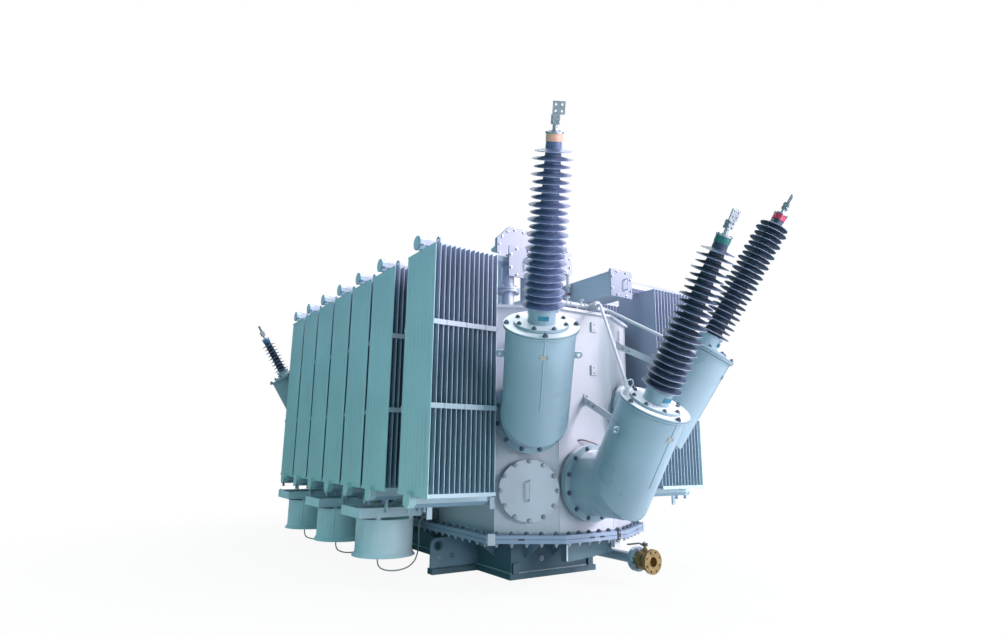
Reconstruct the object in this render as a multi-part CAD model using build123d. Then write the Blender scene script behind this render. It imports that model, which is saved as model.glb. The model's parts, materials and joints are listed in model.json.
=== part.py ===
from build123d import *
from math import cos, pi, radians, sin, tan
import os

# Three-phase power transformer with a bell tank, two banks of panel radiators and inclined bushings.
# Millimetres. The origin is the centre of the base on the ground, X runs across the tank, -Y points
# to the high voltage end and +Z is up.

os.makedirs("parts", exist_ok=True)

# Bell tank, with the same blunt nose at both ends
TANK_HALF_WIDTH = 781
TANK_HALF_LENGTH = 2650
NOSE_HALF_FACE = 309
CHAMFER_RUN = 272
TANK_TOP = 2343
COVER_THICKNESS = 26
COVER_OUT = 30

# Bolted joint between the bell and the lower tank
FLANGE_TOP = 427
FLANGE_THICKNESS = 32
FLANGE_OUT = 122

# Lower tank and base
LOWER_HALF_WIDTH = 470
LOWER_SETBACK = 476
BASE_THICKNESS = 48
BASE_OUT = 22
HAULAGE_SHIFT = 28.5
HAULAGE_HALF_SPAN = 964
HAULAGE_PLATE = 26
HAULAGE_HEIGHT = 262
HAULAGE_CORNER = 70
HAULAGE_HOLE = 34
GUSSET_PLATE = 12
GUSSET_DROP = 200
GUSSET_OUT = 290
SIDE_GUSSETS = 8
END_GUSSETS = 3
CLEARANCE = 0.3

# Panel radiators, seven a side
BANK_INNER = 953
PANEL_COUNT = 14
PANEL_PITCH = 45
PANEL_THICKNESS = 14
PANEL_EDGE = 5
PANEL_SHOULDER = 30
PANEL_BOTTOM = 773
PANEL_HEIGHT = 1957
FRONT_RADIATOR_BACK = 260
BANK_FRONT_BACK = 1054
BANK_REAR_BACK = 1406
BANK_GAP = 48
BANK_COUNT = 6
HEADER_RADIUS = 55
HEADER_SIDES = 8
HEADER_CAP = 45
RISER_X = 675
RISER_RADIUS = 55
RISER_FLANGE_RADIUS = 105
FRONT_BEND_X = 920
FRONT_BEND_RUN = 139
FRONT_BEND_SHIFT = 125

# Tie bars across the radiator edges, and the strip that closes the panels' lower ends
TIE_LEVELS = (1413, 2065)
TIE_HEIGHT = 40
TIE_THICKNESS = 8
STRIP_DROP = 24
STRIP_HEIGHT = 30
LUG_OUTER_INSET = 157
LUG_OUTER_DROP = 92
LUG_INNER_OUT = 36
LUG_INNER_DROP = 38
LUG_WIDTH = 45
LUG_THICKNESS = 12

# Cooling fans hung under the radiators
FAN_RADIUS = 260
FAN_WALL = 8
FAN_BOTTOM = 161
FAN_TOP = 485
FAN_FLARE = 26
FAN_FLARE_HEIGHT = 40
FAN_OUTBOARD = 255
FAN_OVER = 81
CHANNEL_HEIGHT = 84
CHANNEL_GAP = 21
CHANNEL_WIDTH = 40
CHANNEL_WALL = 7
CHANNEL_LENGTH = 600
CHANNEL_OFFSET = 230
HANGER_PLATE = 10
HANGER_INSETS = (45, 357)
MOTOR_GLAND_X = 63
MOTOR_GLAND_Y = -18
GLAND_RADIUS = 10
MOTOR_GLAND = 12
MOTOR_RADIUS = 85
MOTOR_BOTTOM = 150
MOTOR_TOP = 330
HUB_RADIUS = 70
HUB_HEIGHT = 60
BLADE_COUNT = 6
BLADE_CHORD = 120
BLADE_TIP_GAP = 10
BLADE_PITCH = 28
BLADE_THICKNESS = 5
SPIDER_WIDTH = 30
SPIDER_HEIGHT = 12

# High voltage turrets and bushings
TURRET_TILT = 32
TURRET_RADIUS = 269
TURRET_RUN = 418
TURRET_DRUM = 729
TURRET_FLANGE_RADIUS = 322
TURRET_PLATE_RADIUS = 288
TURRET_PLATE = 28
TURRET_SHORT_STUB = 40
TURRET_FLANGE = 30
OUTER_PHASE_Z = 1398
TURRET_SHIFT = 20
MIDDLE_PHASE_Z = 834
BUSHING_FLANGE_RADIUS = 210
BUSHING_FLANGE = 22
BUSHING_NECK_RADIUS = 105
BUSHING_NECK = 112
SHED_START = 0.3
SHED_RIM = 0.42
SHED_END = 0.75
HV_SHED_COUNT = 22
HV_SHED_LENGTH = 1160
HV_SHED_BOTTOM = 160
HV_SHED_TOP = 142
HV_SHED_STEP = 14
HV_CORE_BOTTOM = 80
HV_CORE_TOP = 54
HV_CORE_TAIL = 34
HV_CAP_RADIUS = 58
HV_CAP_HEIGHT = 50
LID_OUT = 4
LID_THICKNESS = 14

# Terminals
STEM_RADIUS = 16
STEM_LENGTH = 45
CLAMP_WIDTH = 56
CLAMP_DEPTH = 40
CLAMP_HEIGHT = 64
FLAG_WIDTH = 84
FLAG_HEIGHT = 86
FLAG_SHIFT = 18
FLAG_THICKNESS = 10
FLAG_HOLE = 8
FLAG_HOLE_SPACING = 42

# Rear bushings
REAR_BACK = 700
REAR_Z = 1465
REAR_END_Z = 1465
REAR_RADIUS = 190
REAR_RUN = 330
REAR_DRUM = 690
REAR_FLANGE_RADIUS = 235
REAR_PLATE_RADIUS = 220
REAR_PLATE = 24
REAR_BUSHING_FLANGE_RADIUS = 144
REAR_NECK_RADIUS = 72
REAR_NECK = 60
REAR_SHED_COUNT = 9
REAR_SHED_LENGTH = 420
REAR_SHED_BOTTOM = 98
REAR_SHED_TOP = 92
REAR_SHED_STEP = 12
REAR_CORE_BOTTOM = 48
REAR_CORE_TOP = 40
REAR_CORE_TAIL = 20
REAR_CAP_RADIUS = 46
REAR_CAP_HEIGHT = 44

# Wide box with cut corners on the cover
BOX_BACK = 740
BOX_HALF_WIDTH = 485
BOX_BOTTOM = 2965
BOX_TOP = 3345
BOX_CHAMFER = 145
BOX_PLATE = 22
BOX_RIM = 55
BOX_DEPTH = 200
BOX_NECK_X = 300
BOX_NECK_RADIUS = 80
BOX_JOINT_RADIUS = 125
JOINT_LIFT = 120
JOINT_THICKNESS = 40

# Rectangular collecting duct along the right of the cover, and the short box opposite it
DUCT_INNER = 488
DUCT_OUTER = 738
DUCT_BOTTOM = 2633
DUCT_TOP = 2872
DUCT_FRONT_BACK = 136
DUCT_REAR_BACK = 1150
DUCT_RIM = 20
DUCT_PLATE = 14
DUCT_NECK_RADIUS = 80
SIDE_BOX_DEPTH = 60
SIDE_BOX_INSET = 25
SIDE_NECK_X = 490
SIDE_NECK_BACK = 74
SIDE_NECK_RADIUS = 70
SIDE_NECK_TOP = 2760

# Manhole cover on the chamfers
MANHOLE_RADIUS = 254
MANHOLE_Z = 774
MANHOLE_SHIFT = 12
MANHOLE_NECK_RADIUS = 225
MANHOLE_NECK = 36
MANHOLE_COVER = 24

# Drain pipe, ball valve and lever
DRAIN_X = 371
DRAIN_Z = 204
DRAIN_PIPE_RADIUS = 44.5
DRAIN_FLANGE_RADIUS = 100
DRAIN_FLANGE = 22
DRAIN_PIPE_LENGTH = 668
VALVE_LENGTH = 180
VALVE_BODY_RADIUS = 70
VALVE_BORE_RADIUS = 40
VALVE_BORE_DEPTH = 60
VALVE_HOLE_CIRCLE = 160
VALVE_HOLE_COUNT = 8
VALVE_HOLE_RADIUS = 9
VALVE_STEM_RADIUS = 14
VALVE_STEM_TOP = 116
LEVER_HUB_RADIUS = 24
LEVER_HUB_HEIGHT = 22
LEVER_LENGTH = 200
LEVER_WIDTH = 26
LEVER_THICKNESS = 8
LEVER_CRANK = 60
LEVER_RISE = 22

# Gas pipes from the turrets' plates to a collector along the cover's front edge
GAS_PIPE_RADIUS = 11
GAS_BEND = 40
GAS_FOOT_RISE = 60
GAS_FOOT_A = (60, 255)
GAS_FOOT_B = (-216, 125)
GAS_SIDE_OUT = 60
GAS_SIDE_DROP = 60
COLLECTOR_RADIUS = 20
COLLECTOR_BACK = 30
COLLECTOR_LIFT = 56
COLLECTOR_LEFT = -330
COLLECTOR_RIGHT = 280
COLLECTOR_POSTS = (-270, -60, 60, 240)
POST_RADIUS = 9
POT_X = 115
POT_RADIUS = 36
POT_LENGTH = 90

# Box that hangs under the flange's front
FLANGE_BOX_LEFT = -230
FLANGE_BOX_RIGHT = 275
FLANGE_BOX_DEPTH = 77
FLANGE_BOX_DROP_LEFT = 169
FLANGE_BOX_DROP_RIGHT = 125

# Flat stays from the tank's wall to the back of each drum
STAY_WALL_Z = 715
STAY_DRUM = 431
STAY_WIDTH = 60
STAY_THICKNESS = 10
STAY_X = -20
STAY_OVERRUN = 60
STAY_FOOT_WIDTH = 50
STAY_FOOT_HEIGHT = 110

# Cables from the left fans to boxes on the tank's wall. Each route's points are given as shares of
# the way across, of the sideways swing and of the gland's height
CABLE_DIAMETER = 12
CABLE_EASE = 0.45
CABLE_SWING = 92
CABLE_BOX_DEPTH = 50
CABLE_BOX_WIDTH = 100
CABLE_BOX_HEIGHT = 100
CABLE_BOX_BOTTOM = 440
CABLE_GLAND = 14
CABLE_END_Y = -38
CABLE_END_Z = 479
CABLE_LEAD = 56
CABLE_TAIL = 56
CABLE_SHARES = [(0.054, 0.478, 0.084), (0.204, 0.717, 0.042), (0.388, 0.891, 0.046), (0.544, 0.957, 0.088),
                (0.664, 0.957, 0.188), (0.726, 0.870, 0.345), (0.746, 0.739, 0.532), (0.750, 0.609, 0.710),
                (0.759, 0.511, 0.852), (0.804, 0.446, 0.946)]

# Derived levels and places
FLANGE_BOTTOM = FLANGE_TOP - 2 * FLANGE_THICKNESS
COVER_TOP = TANK_TOP + COVER_THICKNESS
PANEL_TOP = PANEL_BOTTOM + PANEL_HEIGHT
HEADER_LOW = PANEL_BOTTOM - HEADER_RADIUS
HEADER_HIGH = PANEL_TOP + HEADER_RADIUS
BANK_OUTER = BANK_INNER + (PANEL_COUNT - 1) * PANEL_PITCH + PANEL_THICKNESS
FAN_X = BANK_OUTER - FAN_OUTBOARD
CHANNEL_BOTTOM = FAN_TOP + CHANNEL_GAP
CHANNEL_TOP = CHANNEL_BOTTOM + CHANNEL_HEIGHT
BANK_FIRST_Y = BANK_FRONT_BACK - TANK_HALF_LENGTH
BANK_PITCH = (TANK_HALF_LENGTH - BANK_REAR_BACK - BANK_FIRST_Y) / (BANK_COUNT - 1)
PANEL_WIDTH = BANK_PITCH - BANK_GAP
FRONT_RADIATOR_Y = FRONT_RADIATOR_BACK - TANK_HALF_LENGTH
RADIATOR_YS = [FRONT_RADIATOR_Y] + [BANK_FIRST_Y + BANK_PITCH * k for k in range(BANK_COUNT)]
FAN_YS = [BANK_FIRST_Y + BANK_PITCH * (2 * k + 0.5) for k in range(BANK_COUNT // 2)]
LOWER_HALF_LENGTH = TANK_HALF_LENGTH - LOWER_SETBACK
HAULAGE_Y = 0.75 * LOWER_HALF_LENGTH - HAULAGE_SHIFT
REAR_Y = TANK_HALF_LENGTH - REAR_BACK
BOX_Y = BOX_BACK - TANK_HALF_LENGTH
DUCT_FRONT = DUCT_FRONT_BACK - TANK_HALF_LENGTH
DUCT_BACK = TANK_HALF_LENGTH - DUCT_REAR_BACK
SIDE_NECK_Y = DUCT_FRONT + SIDE_NECK_BACK
COLLECTOR_Y = COLLECTOR_BACK - TANK_HALF_LENGTH
COLLECTOR_Z = COVER_TOP + COLLECTOR_LIFT
CHAMFER_WIDTH = TANK_HALF_WIDTH - NOSE_HALF_FACE
CHAMFER_X = (TANK_HALF_WIDTH + NOSE_HALF_FACE) / 2
CHAMFER_Y = TANK_HALF_LENGTH - CHAMFER_RUN / 2
CHAMFER_BEARING = Vector(CHAMFER_WIDTH, CHAMFER_RUN, 0).get_angle(Vector(1, 0, 0))

parts = {}


def mirror_x(shape):
    """The same piece on the other side of the tank."""
    return mirror(shape, about=Plane.YZ)


def block(x0, x1, y0, y1, z0, z1):
    """A box between two corners."""
    return Pos((x0 + x1) / 2, (y0 + y1) / 2, (z0 + z1) / 2) * Box(x1 - x0, y1 - y0, z1 - z0)


def tank_plan(grow=0.0):
    """Plan outline of the bell tank, grown outward."""
    front = TANK_HALF_LENGTH
    shoulder = TANK_HALF_LENGTH - CHAMFER_RUN
    quarter = [(NOSE_HALF_FACE, front), (TANK_HALF_WIDTH, shoulder)]
    right = [(x, -y) for x, y in quarter] + [(x, y) for x, y in reversed(quarter)]
    left = [(-x, y) for x, y in reversed(right)]
    face = make_face(Polyline(*right, *left, close=True))
    if grow:
        face = offset(face, amount=grow, kind=Kind.INTERSECTION)
    return face


def plan_slab(grow, bottom, thickness):
    """A slab with the tank's plan between two levels."""
    return Pos(0, 0, bottom) * extrude(tank_plan(grow), amount=thickness)


def solids(*shapes):
    """Several solids as one piece."""
    return Compound(children=[s for shape in shapes for s in shape.solids()])


# Base and lower tank
def make_base():
    half_x = LOWER_HALF_WIDTH + BASE_OUT
    half_y = LOWER_HALF_LENGTH + BASE_OUT
    slab = block(-half_x, half_x, -half_y, half_y, 0, BASE_THICKNESS)
    for y in (-HAULAGE_Y, HAULAGE_Y):
        foot = block(-HAULAGE_HALF_SPAN, HAULAGE_HALF_SPAN, y - BASE_THICKNESS, y + BASE_THICKNESS,
                     0, BASE_THICKNESS)
        slab = slab + foot
    return slab


def make_haulage():
    """Four pulling plates that stand on the feet beside the lower tank."""
    plates = []
    low = BASE_THICKNESS
    high = BASE_THICKNESS + HAULAGE_HEIGHT
    for y in (-HAULAGE_Y, HAULAGE_Y):
        outline = Polyline((LOWER_HALF_WIDTH, low), (HAULAGE_HALF_SPAN, low),
                           (HAULAGE_HALF_SPAN, high), (LOWER_HALF_WIDTH, high), close=True)
        face = make_face(outline)
        corner = face.vertices().sort_by(Axis.X)[-2:].sort_by(Axis.Y)[-1]
        face = fillet(corner, HAULAGE_CORNER)
        hole = Pos(HAULAGE_HALF_SPAN - HAULAGE_CORNER, high - HAULAGE_CORNER) * Circle(HAULAGE_HOLE)
        face = face - hole
        plate = extrude(Plane.XZ.offset(-y) * face, amount=HAULAGE_PLATE / 2, both=True)
        plates += [plate, mirror_x(plate)]
    return solids(*plates)


def make_gussets():
    """Triangular gussets from the lower tank's wall to the flange."""
    pieces = []
    profile = make_face(Polyline((0, 0), (GUSSET_OUT, 0), (0, -GUSSET_DROP), close=True))
    for k in range(SIDE_GUSSETS):
        y = (k + 0.5) * 2 * LOWER_HALF_LENGTH / SIDE_GUSSETS - LOWER_HALF_LENGTH
        plane = Plane(origin=(LOWER_HALF_WIDTH, y, FLANGE_BOTTOM), x_dir=(1, 0, 0), z_dir=(0, -1, 0))
        piece = extrude(plane * profile, amount=GUSSET_PLATE / 2, both=True)
        pieces += [piece, mirror_x(piece)]
    for end in (-1, 1):
        for k in range(END_GUSSETS):
            x = (k + 0.5) * 2 * LOWER_HALF_WIDTH / END_GUSSETS - LOWER_HALF_WIDTH
            plane = Plane(origin=(x, end * LOWER_HALF_LENGTH, FLANGE_BOTTOM),
                          x_dir=(0, end, 0), z_dir=(end, 0, 0))
            pieces.append(extrude(plane * profile, amount=GUSSET_PLATE / 2, both=True))
    return solids(*pieces)


parts["base_plate"] = make_base()
parts["lower_tank"] = block(-LOWER_HALF_WIDTH, LOWER_HALF_WIDTH, -LOWER_HALF_LENGTH, LOWER_HALF_LENGTH,
                            BASE_THICKNESS, FLANGE_BOTTOM)
parts["haulage_plates"] = make_haulage()
parts["flange_gussets"] = make_gussets()
parts["lower_flange"] = plan_slab(FLANGE_OUT, FLANGE_BOTTOM, FLANGE_THICKNESS)
parts["upper_flange"] = plan_slab(FLANGE_OUT, FLANGE_BOTTOM + FLANGE_THICKNESS, FLANGE_THICKNESS)
parts["bell_tank"] = plan_slab(0, FLANGE_TOP, TANK_TOP - FLANGE_TOP)
parts["tank_cover"] = plan_slab(COVER_OUT, TANK_TOP, COVER_THICKNESS)


# Radiators
def header_pipe(x0, x1, z):
    """A radiator's collecting pipe, with flats where the panels are welded on."""
    turn = 360 / HEADER_SIDES / 2
    section = Rot(0, 0, turn) * RegularPolygon(HEADER_RADIUS, HEADER_SIDES, major_radius=False)
    plane = Plane(origin=(x0, 0, z), x_dir=(0, 1, 0), z_dir=(1, 0, 0))
    return extrude(plane * section, amount=x1 - x0)


def panel_section():
    """Plan section of one pressed panel: flat inside, thin at its welded edges."""
    half = PANEL_WIDTH / 2
    flat = half - PANEL_SHOULDER
    thick = PANEL_THICKNESS / 2
    thin = PANEL_EDGE / 2
    right = [(thick, -flat), (thick, flat), (thin, half)]
    left = [(-x, y) for x, y in ((thin, half), (thick, flat), (thick, -flat), (thin, -half))]
    return make_face(Polyline(*right, *left, (thin, -half), close=True))


def make_panels():
    """The pressed panels of one radiator, standing across X and centred on Y = 0."""
    section = panel_section()
    first = BANK_INNER + PANEL_THICKNESS / 2
    return [extrude(Pos(first + k * PANEL_PITCH, 0, PANEL_BOTTOM) * section, amount=PANEL_HEIGHT)
            for k in range(PANEL_COUNT)]


def make_tie_bars():
    """Flat bars across both edges of a radiator's panels, and the strip round their lower ends."""
    bars = []
    half = PANEL_WIDTH / 2
    low = PANEL_BOTTOM - STRIP_DROP
    levels = [(level, level + TIE_HEIGHT) for level in TIE_LEVELS] + [(low, low + STRIP_HEIGHT)]
    for bottom, top in levels:
        bars.append(block(BANK_INNER, BANK_OUTER, -half - TIE_THICKNESS, -half, bottom, top))
        bars.append(block(BANK_INNER, BANK_OUTER, half, half + TIE_THICKNESS, bottom, top))
    bars.append(block(BANK_OUTER - PANEL_EDGE, BANK_OUTER, -half, half, low, PANEL_BOTTOM))
    return bars


def make_lower_pipe(front):
    """The bottom collecting pipe up to the tank's wall, turned back past the manhole at the front."""
    outer = BANK_OUTER + HEADER_CAP
    if not front:
        return header_pipe(TANK_HALF_WIDTH, outer, HEADER_LOW)
    along = Vector(-FRONT_BEND_RUN, FRONT_BEND_SHIFT, 0)
    elbow = Vector(FRONT_BEND_X, 0, HEADER_LOW)
    straight = header_pipe(FRONT_BEND_X - HEADER_RADIUS, outer, HEADER_LOW)
    mitre = Plane(origin=elbow, x_dir=(0, 0, 1), z_dir=Vector(1, 0, 0) - along.normalized())
    straight = split(straight, bisect_by=mitre, keep=Keep.TOP)
    start = elbow - along.normalized() * HEADER_RADIUS
    section = Rot(0, 0, 180 / HEADER_SIDES) * RegularPolygon(HEADER_RADIUS, HEADER_SIDES, major_radius=False)
    plane = Plane(origin=start, x_dir=along.cross(Vector(0, 0, 1)).normalized(), z_dir=along)
    turned = extrude(plane * section, amount=along.length + 2 * HEADER_RADIUS)
    turned = split(turned, bisect_by=mitre, keep=Keep.BOTTOM)
    pipe = straight + turned
    bottom = HEADER_LOW - HEADER_RADIUS
    lugs = ((BANK_OUTER - LUG_OUTER_INSET, LUG_OUTER_DROP), (TANK_HALF_WIDTH + LUG_INNER_OUT, LUG_INNER_DROP))
    for x, drop in lugs:
        pipe = pipe + block(x - LUG_WIDTH / 2, x + LUG_WIDTH / 2, -LUG_THICKNESS / 2, LUG_THICKNESS / 2,
                            bottom - drop, HEADER_LOW)
    return pipe


def make_top_pipe(left):
    """A radiator's top pipe. The left bank's turn down to the cover, and the right bank's run into
    the collecting duct."""
    outer = BANK_OUTER + HEADER_CAP
    if not left:
        return header_pipe(DUCT_OUTER, outer, HEADER_HIGH)
    rise = HEADER_HIGH + HEADER_RADIUS - COVER_TOP
    riser = Pos(RISER_X, 0, COVER_TOP) * Cylinder(RISER_RADIUS, rise,
                                                  align=(Align.CENTER, Align.CENTER, Align.MIN))
    joint = Pos(RISER_X, 0, COVER_TOP + JOINT_LIFT) * Cylinder(
        RISER_FLANGE_RADIUS, JOINT_THICKNESS, align=(Align.CENTER, Align.CENTER, Align.MIN))
    return header_pipe(RISER_X, outer, HEADER_HIGH) + riser + joint


tank_body = parts["bell_tank"]
panel_stack = make_panels()[0] + make_panels()[1:] + make_tie_bars()
panel_stack = panel_stack - make_lower_pipe(False)
low_pipes = [Pos(0, y, 0) * make_lower_pipe(k == 0) - tank_body for k, y in enumerate(RADIATOR_YS)]
for number, (left, y) in enumerate([(left, y) for left in (True, False) for y in RADIATOR_YS]):
    side = "left" if left else "right"
    stack = Pos(0, y, 0) * panel_stack
    parts[side + "_radiator_" + str(len(RADIATOR_YS) - number % len(RADIATOR_YS))] = mirror_x(stack) if left else stack
parts["low_pipes"] = solids(*low_pipes, *[mirror_x(piece) for piece in low_pipes])
parts["top_pipes"] = solids(*[Pos(0, y, 0) * make_top_pipe(False) for y in RADIATOR_YS],
                            *[mirror_x(Pos(0, y, 0) * make_top_pipe(True)) for y in RADIATOR_YS])


# Fans
def make_fan_frame(y):
    """Two channels, their end members and the hangers, for one fan of the right bank."""
    x0 = FAN_X + FAN_RADIUS + FAN_OVER - CHANNEL_LENGTH
    x1 = FAN_X + FAN_RADIUS + FAN_OVER
    web = CHANNEL_WALL
    frame = None
    for side in (-1, 1):
        face = side * CHANNEL_OFFSET
        inner = face - side * CHANNEL_WIDTH
        low, high = sorted((face, inner))
        channel = block(x0, x1, y + low, y + high, CHANNEL_BOTTOM, CHANNEL_TOP)
        cut_low, cut_high = sorted((face - side * web, inner - side * web))
        pocket = block(x0 - web, x1 + web, y + cut_low, y + cut_high, CHANNEL_BOTTOM + web, CHANNEL_TOP - web)
        channel = channel - pocket
        frame = channel if frame is None else frame + channel
        for x in [x0 + inset for inset in HANGER_INSETS]:
            reach = sorted((face, side * BANK_PITCH / 2))
            hanger = block(x, x + HANGER_PLATE, y + reach[0], y + reach[1],
                           CHANNEL_TOP - CHANNEL_HEIGHT / 2, HEADER_LOW - HEADER_RADIUS)
            frame = frame + hanger
    for x in (x0, x1 - CHANNEL_WALL):
        frame = frame + block(x, x + CHANNEL_WALL, y - CHANNEL_OFFSET, y + CHANNEL_OFFSET,
                              CHANNEL_BOTTOM, CHANNEL_TOP)
    return frame


def make_shroud(y):
    """A fan's drum with its flared lower rim and the posts that hang it from the channels."""
    inner = FAN_RADIUS - FAN_WALL
    waist = FAN_BOTTOM + FAN_FLARE_HEIGHT
    profile = Polyline((FAN_RADIUS, waist), (FAN_RADIUS, FAN_TOP), (inner, FAN_TOP), (inner, waist),
                       (inner + FAN_FLARE, FAN_BOTTOM), (FAN_RADIUS + FAN_FLARE, FAN_BOTTOM), close=True)
    drum = revolve(Plane.XZ * make_face(profile), Axis.Z)
    arm = block(-FAN_RADIUS + FAN_WALL / 2, FAN_RADIUS - FAN_WALL / 2, -SPIDER_WIDTH / 2, SPIDER_WIDTH / 2,
                FAN_BOTTOM + FAN_FLARE_HEIGHT, FAN_BOTTOM + FAN_FLARE_HEIGHT + SPIDER_HEIGHT)
    arm = arm - Pos(0, 0, FAN_TOP / 2) * Cylinder(MOTOR_RADIUS, FAN_TOP)
    drum = drum + arm
    post_y = CHANNEL_OFFSET - CHANNEL_WIDTH / 2
    for side in (-1, 1):
        for way in (-1, 1):
            post_x = way * (FAN_RADIUS ** 2 - post_y ** 2) ** 0.5
            drum = drum + Pos(post_x, side * post_y, FAN_TOP) * Box(
                SPIDER_WIDTH, SPIDER_WIDTH, CHANNEL_GAP, align=(Align.CENTER, Align.CENTER, Align.MIN))
    return Pos(FAN_X, y, 0) * drum


def make_fan_motor(y):
    """A fan's motor with its hub and blades."""
    motor = Pos(0, 0, MOTOR_BOTTOM) * Cylinder(MOTOR_RADIUS, MOTOR_TOP - MOTOR_BOTTOM,
                                               align=(Align.CENTER, Align.CENTER, Align.MIN))
    motor = motor + Pos(0, 0, MOTOR_TOP) * Cylinder(HUB_RADIUS, HUB_HEIGHT,
                                                    align=(Align.CENTER, Align.CENTER, Align.MIN))
    motor = motor + Pos(MOTOR_GLAND_X, MOTOR_GLAND_Y, MOTOR_BOTTOM) * Cylinder(
        GLAND_RADIUS, MOTOR_GLAND, align=(Align.CENTER, Align.CENTER, Align.MAX))
    reach = FAN_RADIUS - FAN_WALL - BLADE_TIP_GAP
    root = HUB_RADIUS / 2
    for k in range(BLADE_COUNT):
        blade = Box(reach - root, BLADE_CHORD, BLADE_THICKNESS, align=(Align.MIN, Align.CENTER, Align.CENTER))
        spin = Rot(0, 0, 360 * k / BLADE_COUNT)
        motor = motor + spin * Pos(root, 0, MOTOR_TOP + HUB_HEIGHT / 2) * Rot(BLADE_PITCH, 0, 0) * blade
    return Pos(FAN_X, y, 0) * motor


fan_makers = {"fan_frames": make_fan_frame, "fan_drums": make_shroud, "fan_motors": make_fan_motor}
for name, maker in fan_makers.items():
    right = [maker(y) for y in FAN_YS]
    parts[name] = solids(*right, *[mirror_x(piece) for piece in right])


# Turrets and bushings
def turret_axis():
    """Direction of an inclined drum, leaning towards -Y."""
    return Vector(0, -sin(radians(TURRET_TILT)), cos(radians(TURRET_TILT)))


def drum_end(run, drum):
    """Centre of an inclined drum's upper end, from the wall's centre."""
    return Vector(0, -run, 0) + turret_axis() * drum


def make_turret(radius, run, drum, flange_radius, plate_radius, plate, collar_radius, neck_radius, neck):
    """A mitred elbow: a short level run off the wall, then an inclined drum with a plate and neck."""
    corner = Vector(0, -run, 0)
    back = Vector(0, 1, 0)
    axis = turret_axis()
    mitre = Plane(origin=corner, x_dir=(1, 0, 0), z_dir=back - axis)
    level = extrude(Plane(origin=(0, -TURRET_SHORT_STUB, 0), x_dir=(1, 0, 0), z_dir=(0, -1, 0))
                    * Circle(radius), amount=run + radius)
    level = split(level, bisect_by=mitre, keep=Keep.TOP)
    inclined = extrude(Plane(origin=corner - axis * radius, x_dir=(1, 0, 0), z_dir=axis)
                       * Circle(radius), amount=drum + radius)
    inclined = split(inclined, bisect_by=mitre, keep=Keep.BOTTOM)
    joint = TURRET_SHORT_STUB + TURRET_FLANGE
    flange = extrude(Plane(origin=(0, -joint, 0), x_dir=(1, 0, 0), z_dir=(0, -1, 0))
                     * Circle(flange_radius), amount=TURRET_FLANGE)
    top = Plane(origin=drum_end(run, drum), x_dir=(1, 0, 0), z_dir=axis)
    lid = extrude(top * Circle(plate_radius), amount=plate)
    collar = extrude(top.offset(plate) * Circle(collar_radius), amount=BUSHING_FLANGE)
    throat = extrude(top.offset(plate + BUSHING_FLANGE) * Circle(neck_radius), amount=neck)
    level = split(level, bisect_by=Plane(origin=(0, -joint, 0), x_dir=(1, 0, 0), z_dir=(0, -1, 0)),
                  keep=Keep.TOP)
    return level + inclined + flange + lid + collar + throat


def make_wall_flange(radius, flange_radius):
    """The short stub and ring on the tank's wall that a turret is bolted to."""
    wall = Plane(origin=(0, 0, 0), x_dir=(1, 0, 0), z_dir=(0, -1, 0))
    stub = extrude(wall * Circle(radius), amount=TURRET_SHORT_STUB)
    ring = extrude(wall.offset(TURRET_SHORT_STUB) * Circle(flange_radius), amount=TURRET_FLANGE)
    return stub + ring


def make_sheds(count, length, bottom, top, step, core_bottom, core_top, tail):
    """An insulator of alternating sheds on a tapered core with a bare tail, as one turned profile."""
    pitch = length / count
    points = [(0, 0), (core_bottom, 0)]
    for k in range(count):
        part_way = k / (count - 1)
        base = pitch * k
        core = core_bottom + (core_top - core_bottom) * part_way
        rim = bottom + (top - bottom) * part_way
        if k % 2:
            rim -= step
        points += [(core, base + pitch * SHED_START), (rim, base + pitch * SHED_RIM),
                   (core, base + pitch * SHED_END)]
    points += [(core_top, length + tail), (0, length + tail)]
    return revolve(Plane.XZ * make_face(Polyline(*points, close=True)), Axis.Z)


def make_terminal(cap_radius):
    """Lid, stem, clamp block and a flag with four holes, standing on a bushing's cap."""
    lid = Cylinder(cap_radius + LID_OUT, LID_THICKNESS, align=(Align.CENTER, Align.CENTER, Align.MIN))
    stem = Cylinder(STEM_RADIUS, LID_THICKNESS + STEM_LENGTH, align=(Align.CENTER, Align.CENTER, Align.MIN))
    clamp = Pos(0, 0, LID_THICKNESS + STEM_LENGTH) * Box(CLAMP_WIDTH, CLAMP_DEPTH, CLAMP_HEIGHT,
                                                         align=(Align.CENTER, Align.CENTER, Align.MIN))
    middle = LID_THICKNESS + STEM_LENGTH + CLAMP_HEIGHT + FLAG_HEIGHT / 2
    face = Rectangle(FLAG_WIDTH, FLAG_HEIGHT) - GridLocations(
        FLAG_HOLE_SPACING, FLAG_HOLE_SPACING, 2, 2) * Circle(FLAG_HOLE)
    flag = extrude(Plane(origin=(FLAG_SHIFT, 0, middle), x_dir=(1, 0, 0), z_dir=(0, -1, 0)) * face,
                   amount=FLAG_THICKNESS / 2, both=True)
    return lid + stem + clamp + flag


def insulator_plane(run, drum, lift):
    """The plane across a turret's axis, so far above its drum's end."""
    axis = turret_axis()
    return Plane(origin=drum_end(run, drum) + axis * lift, x_dir=(1, 0, 0), z_dir=axis)


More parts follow.
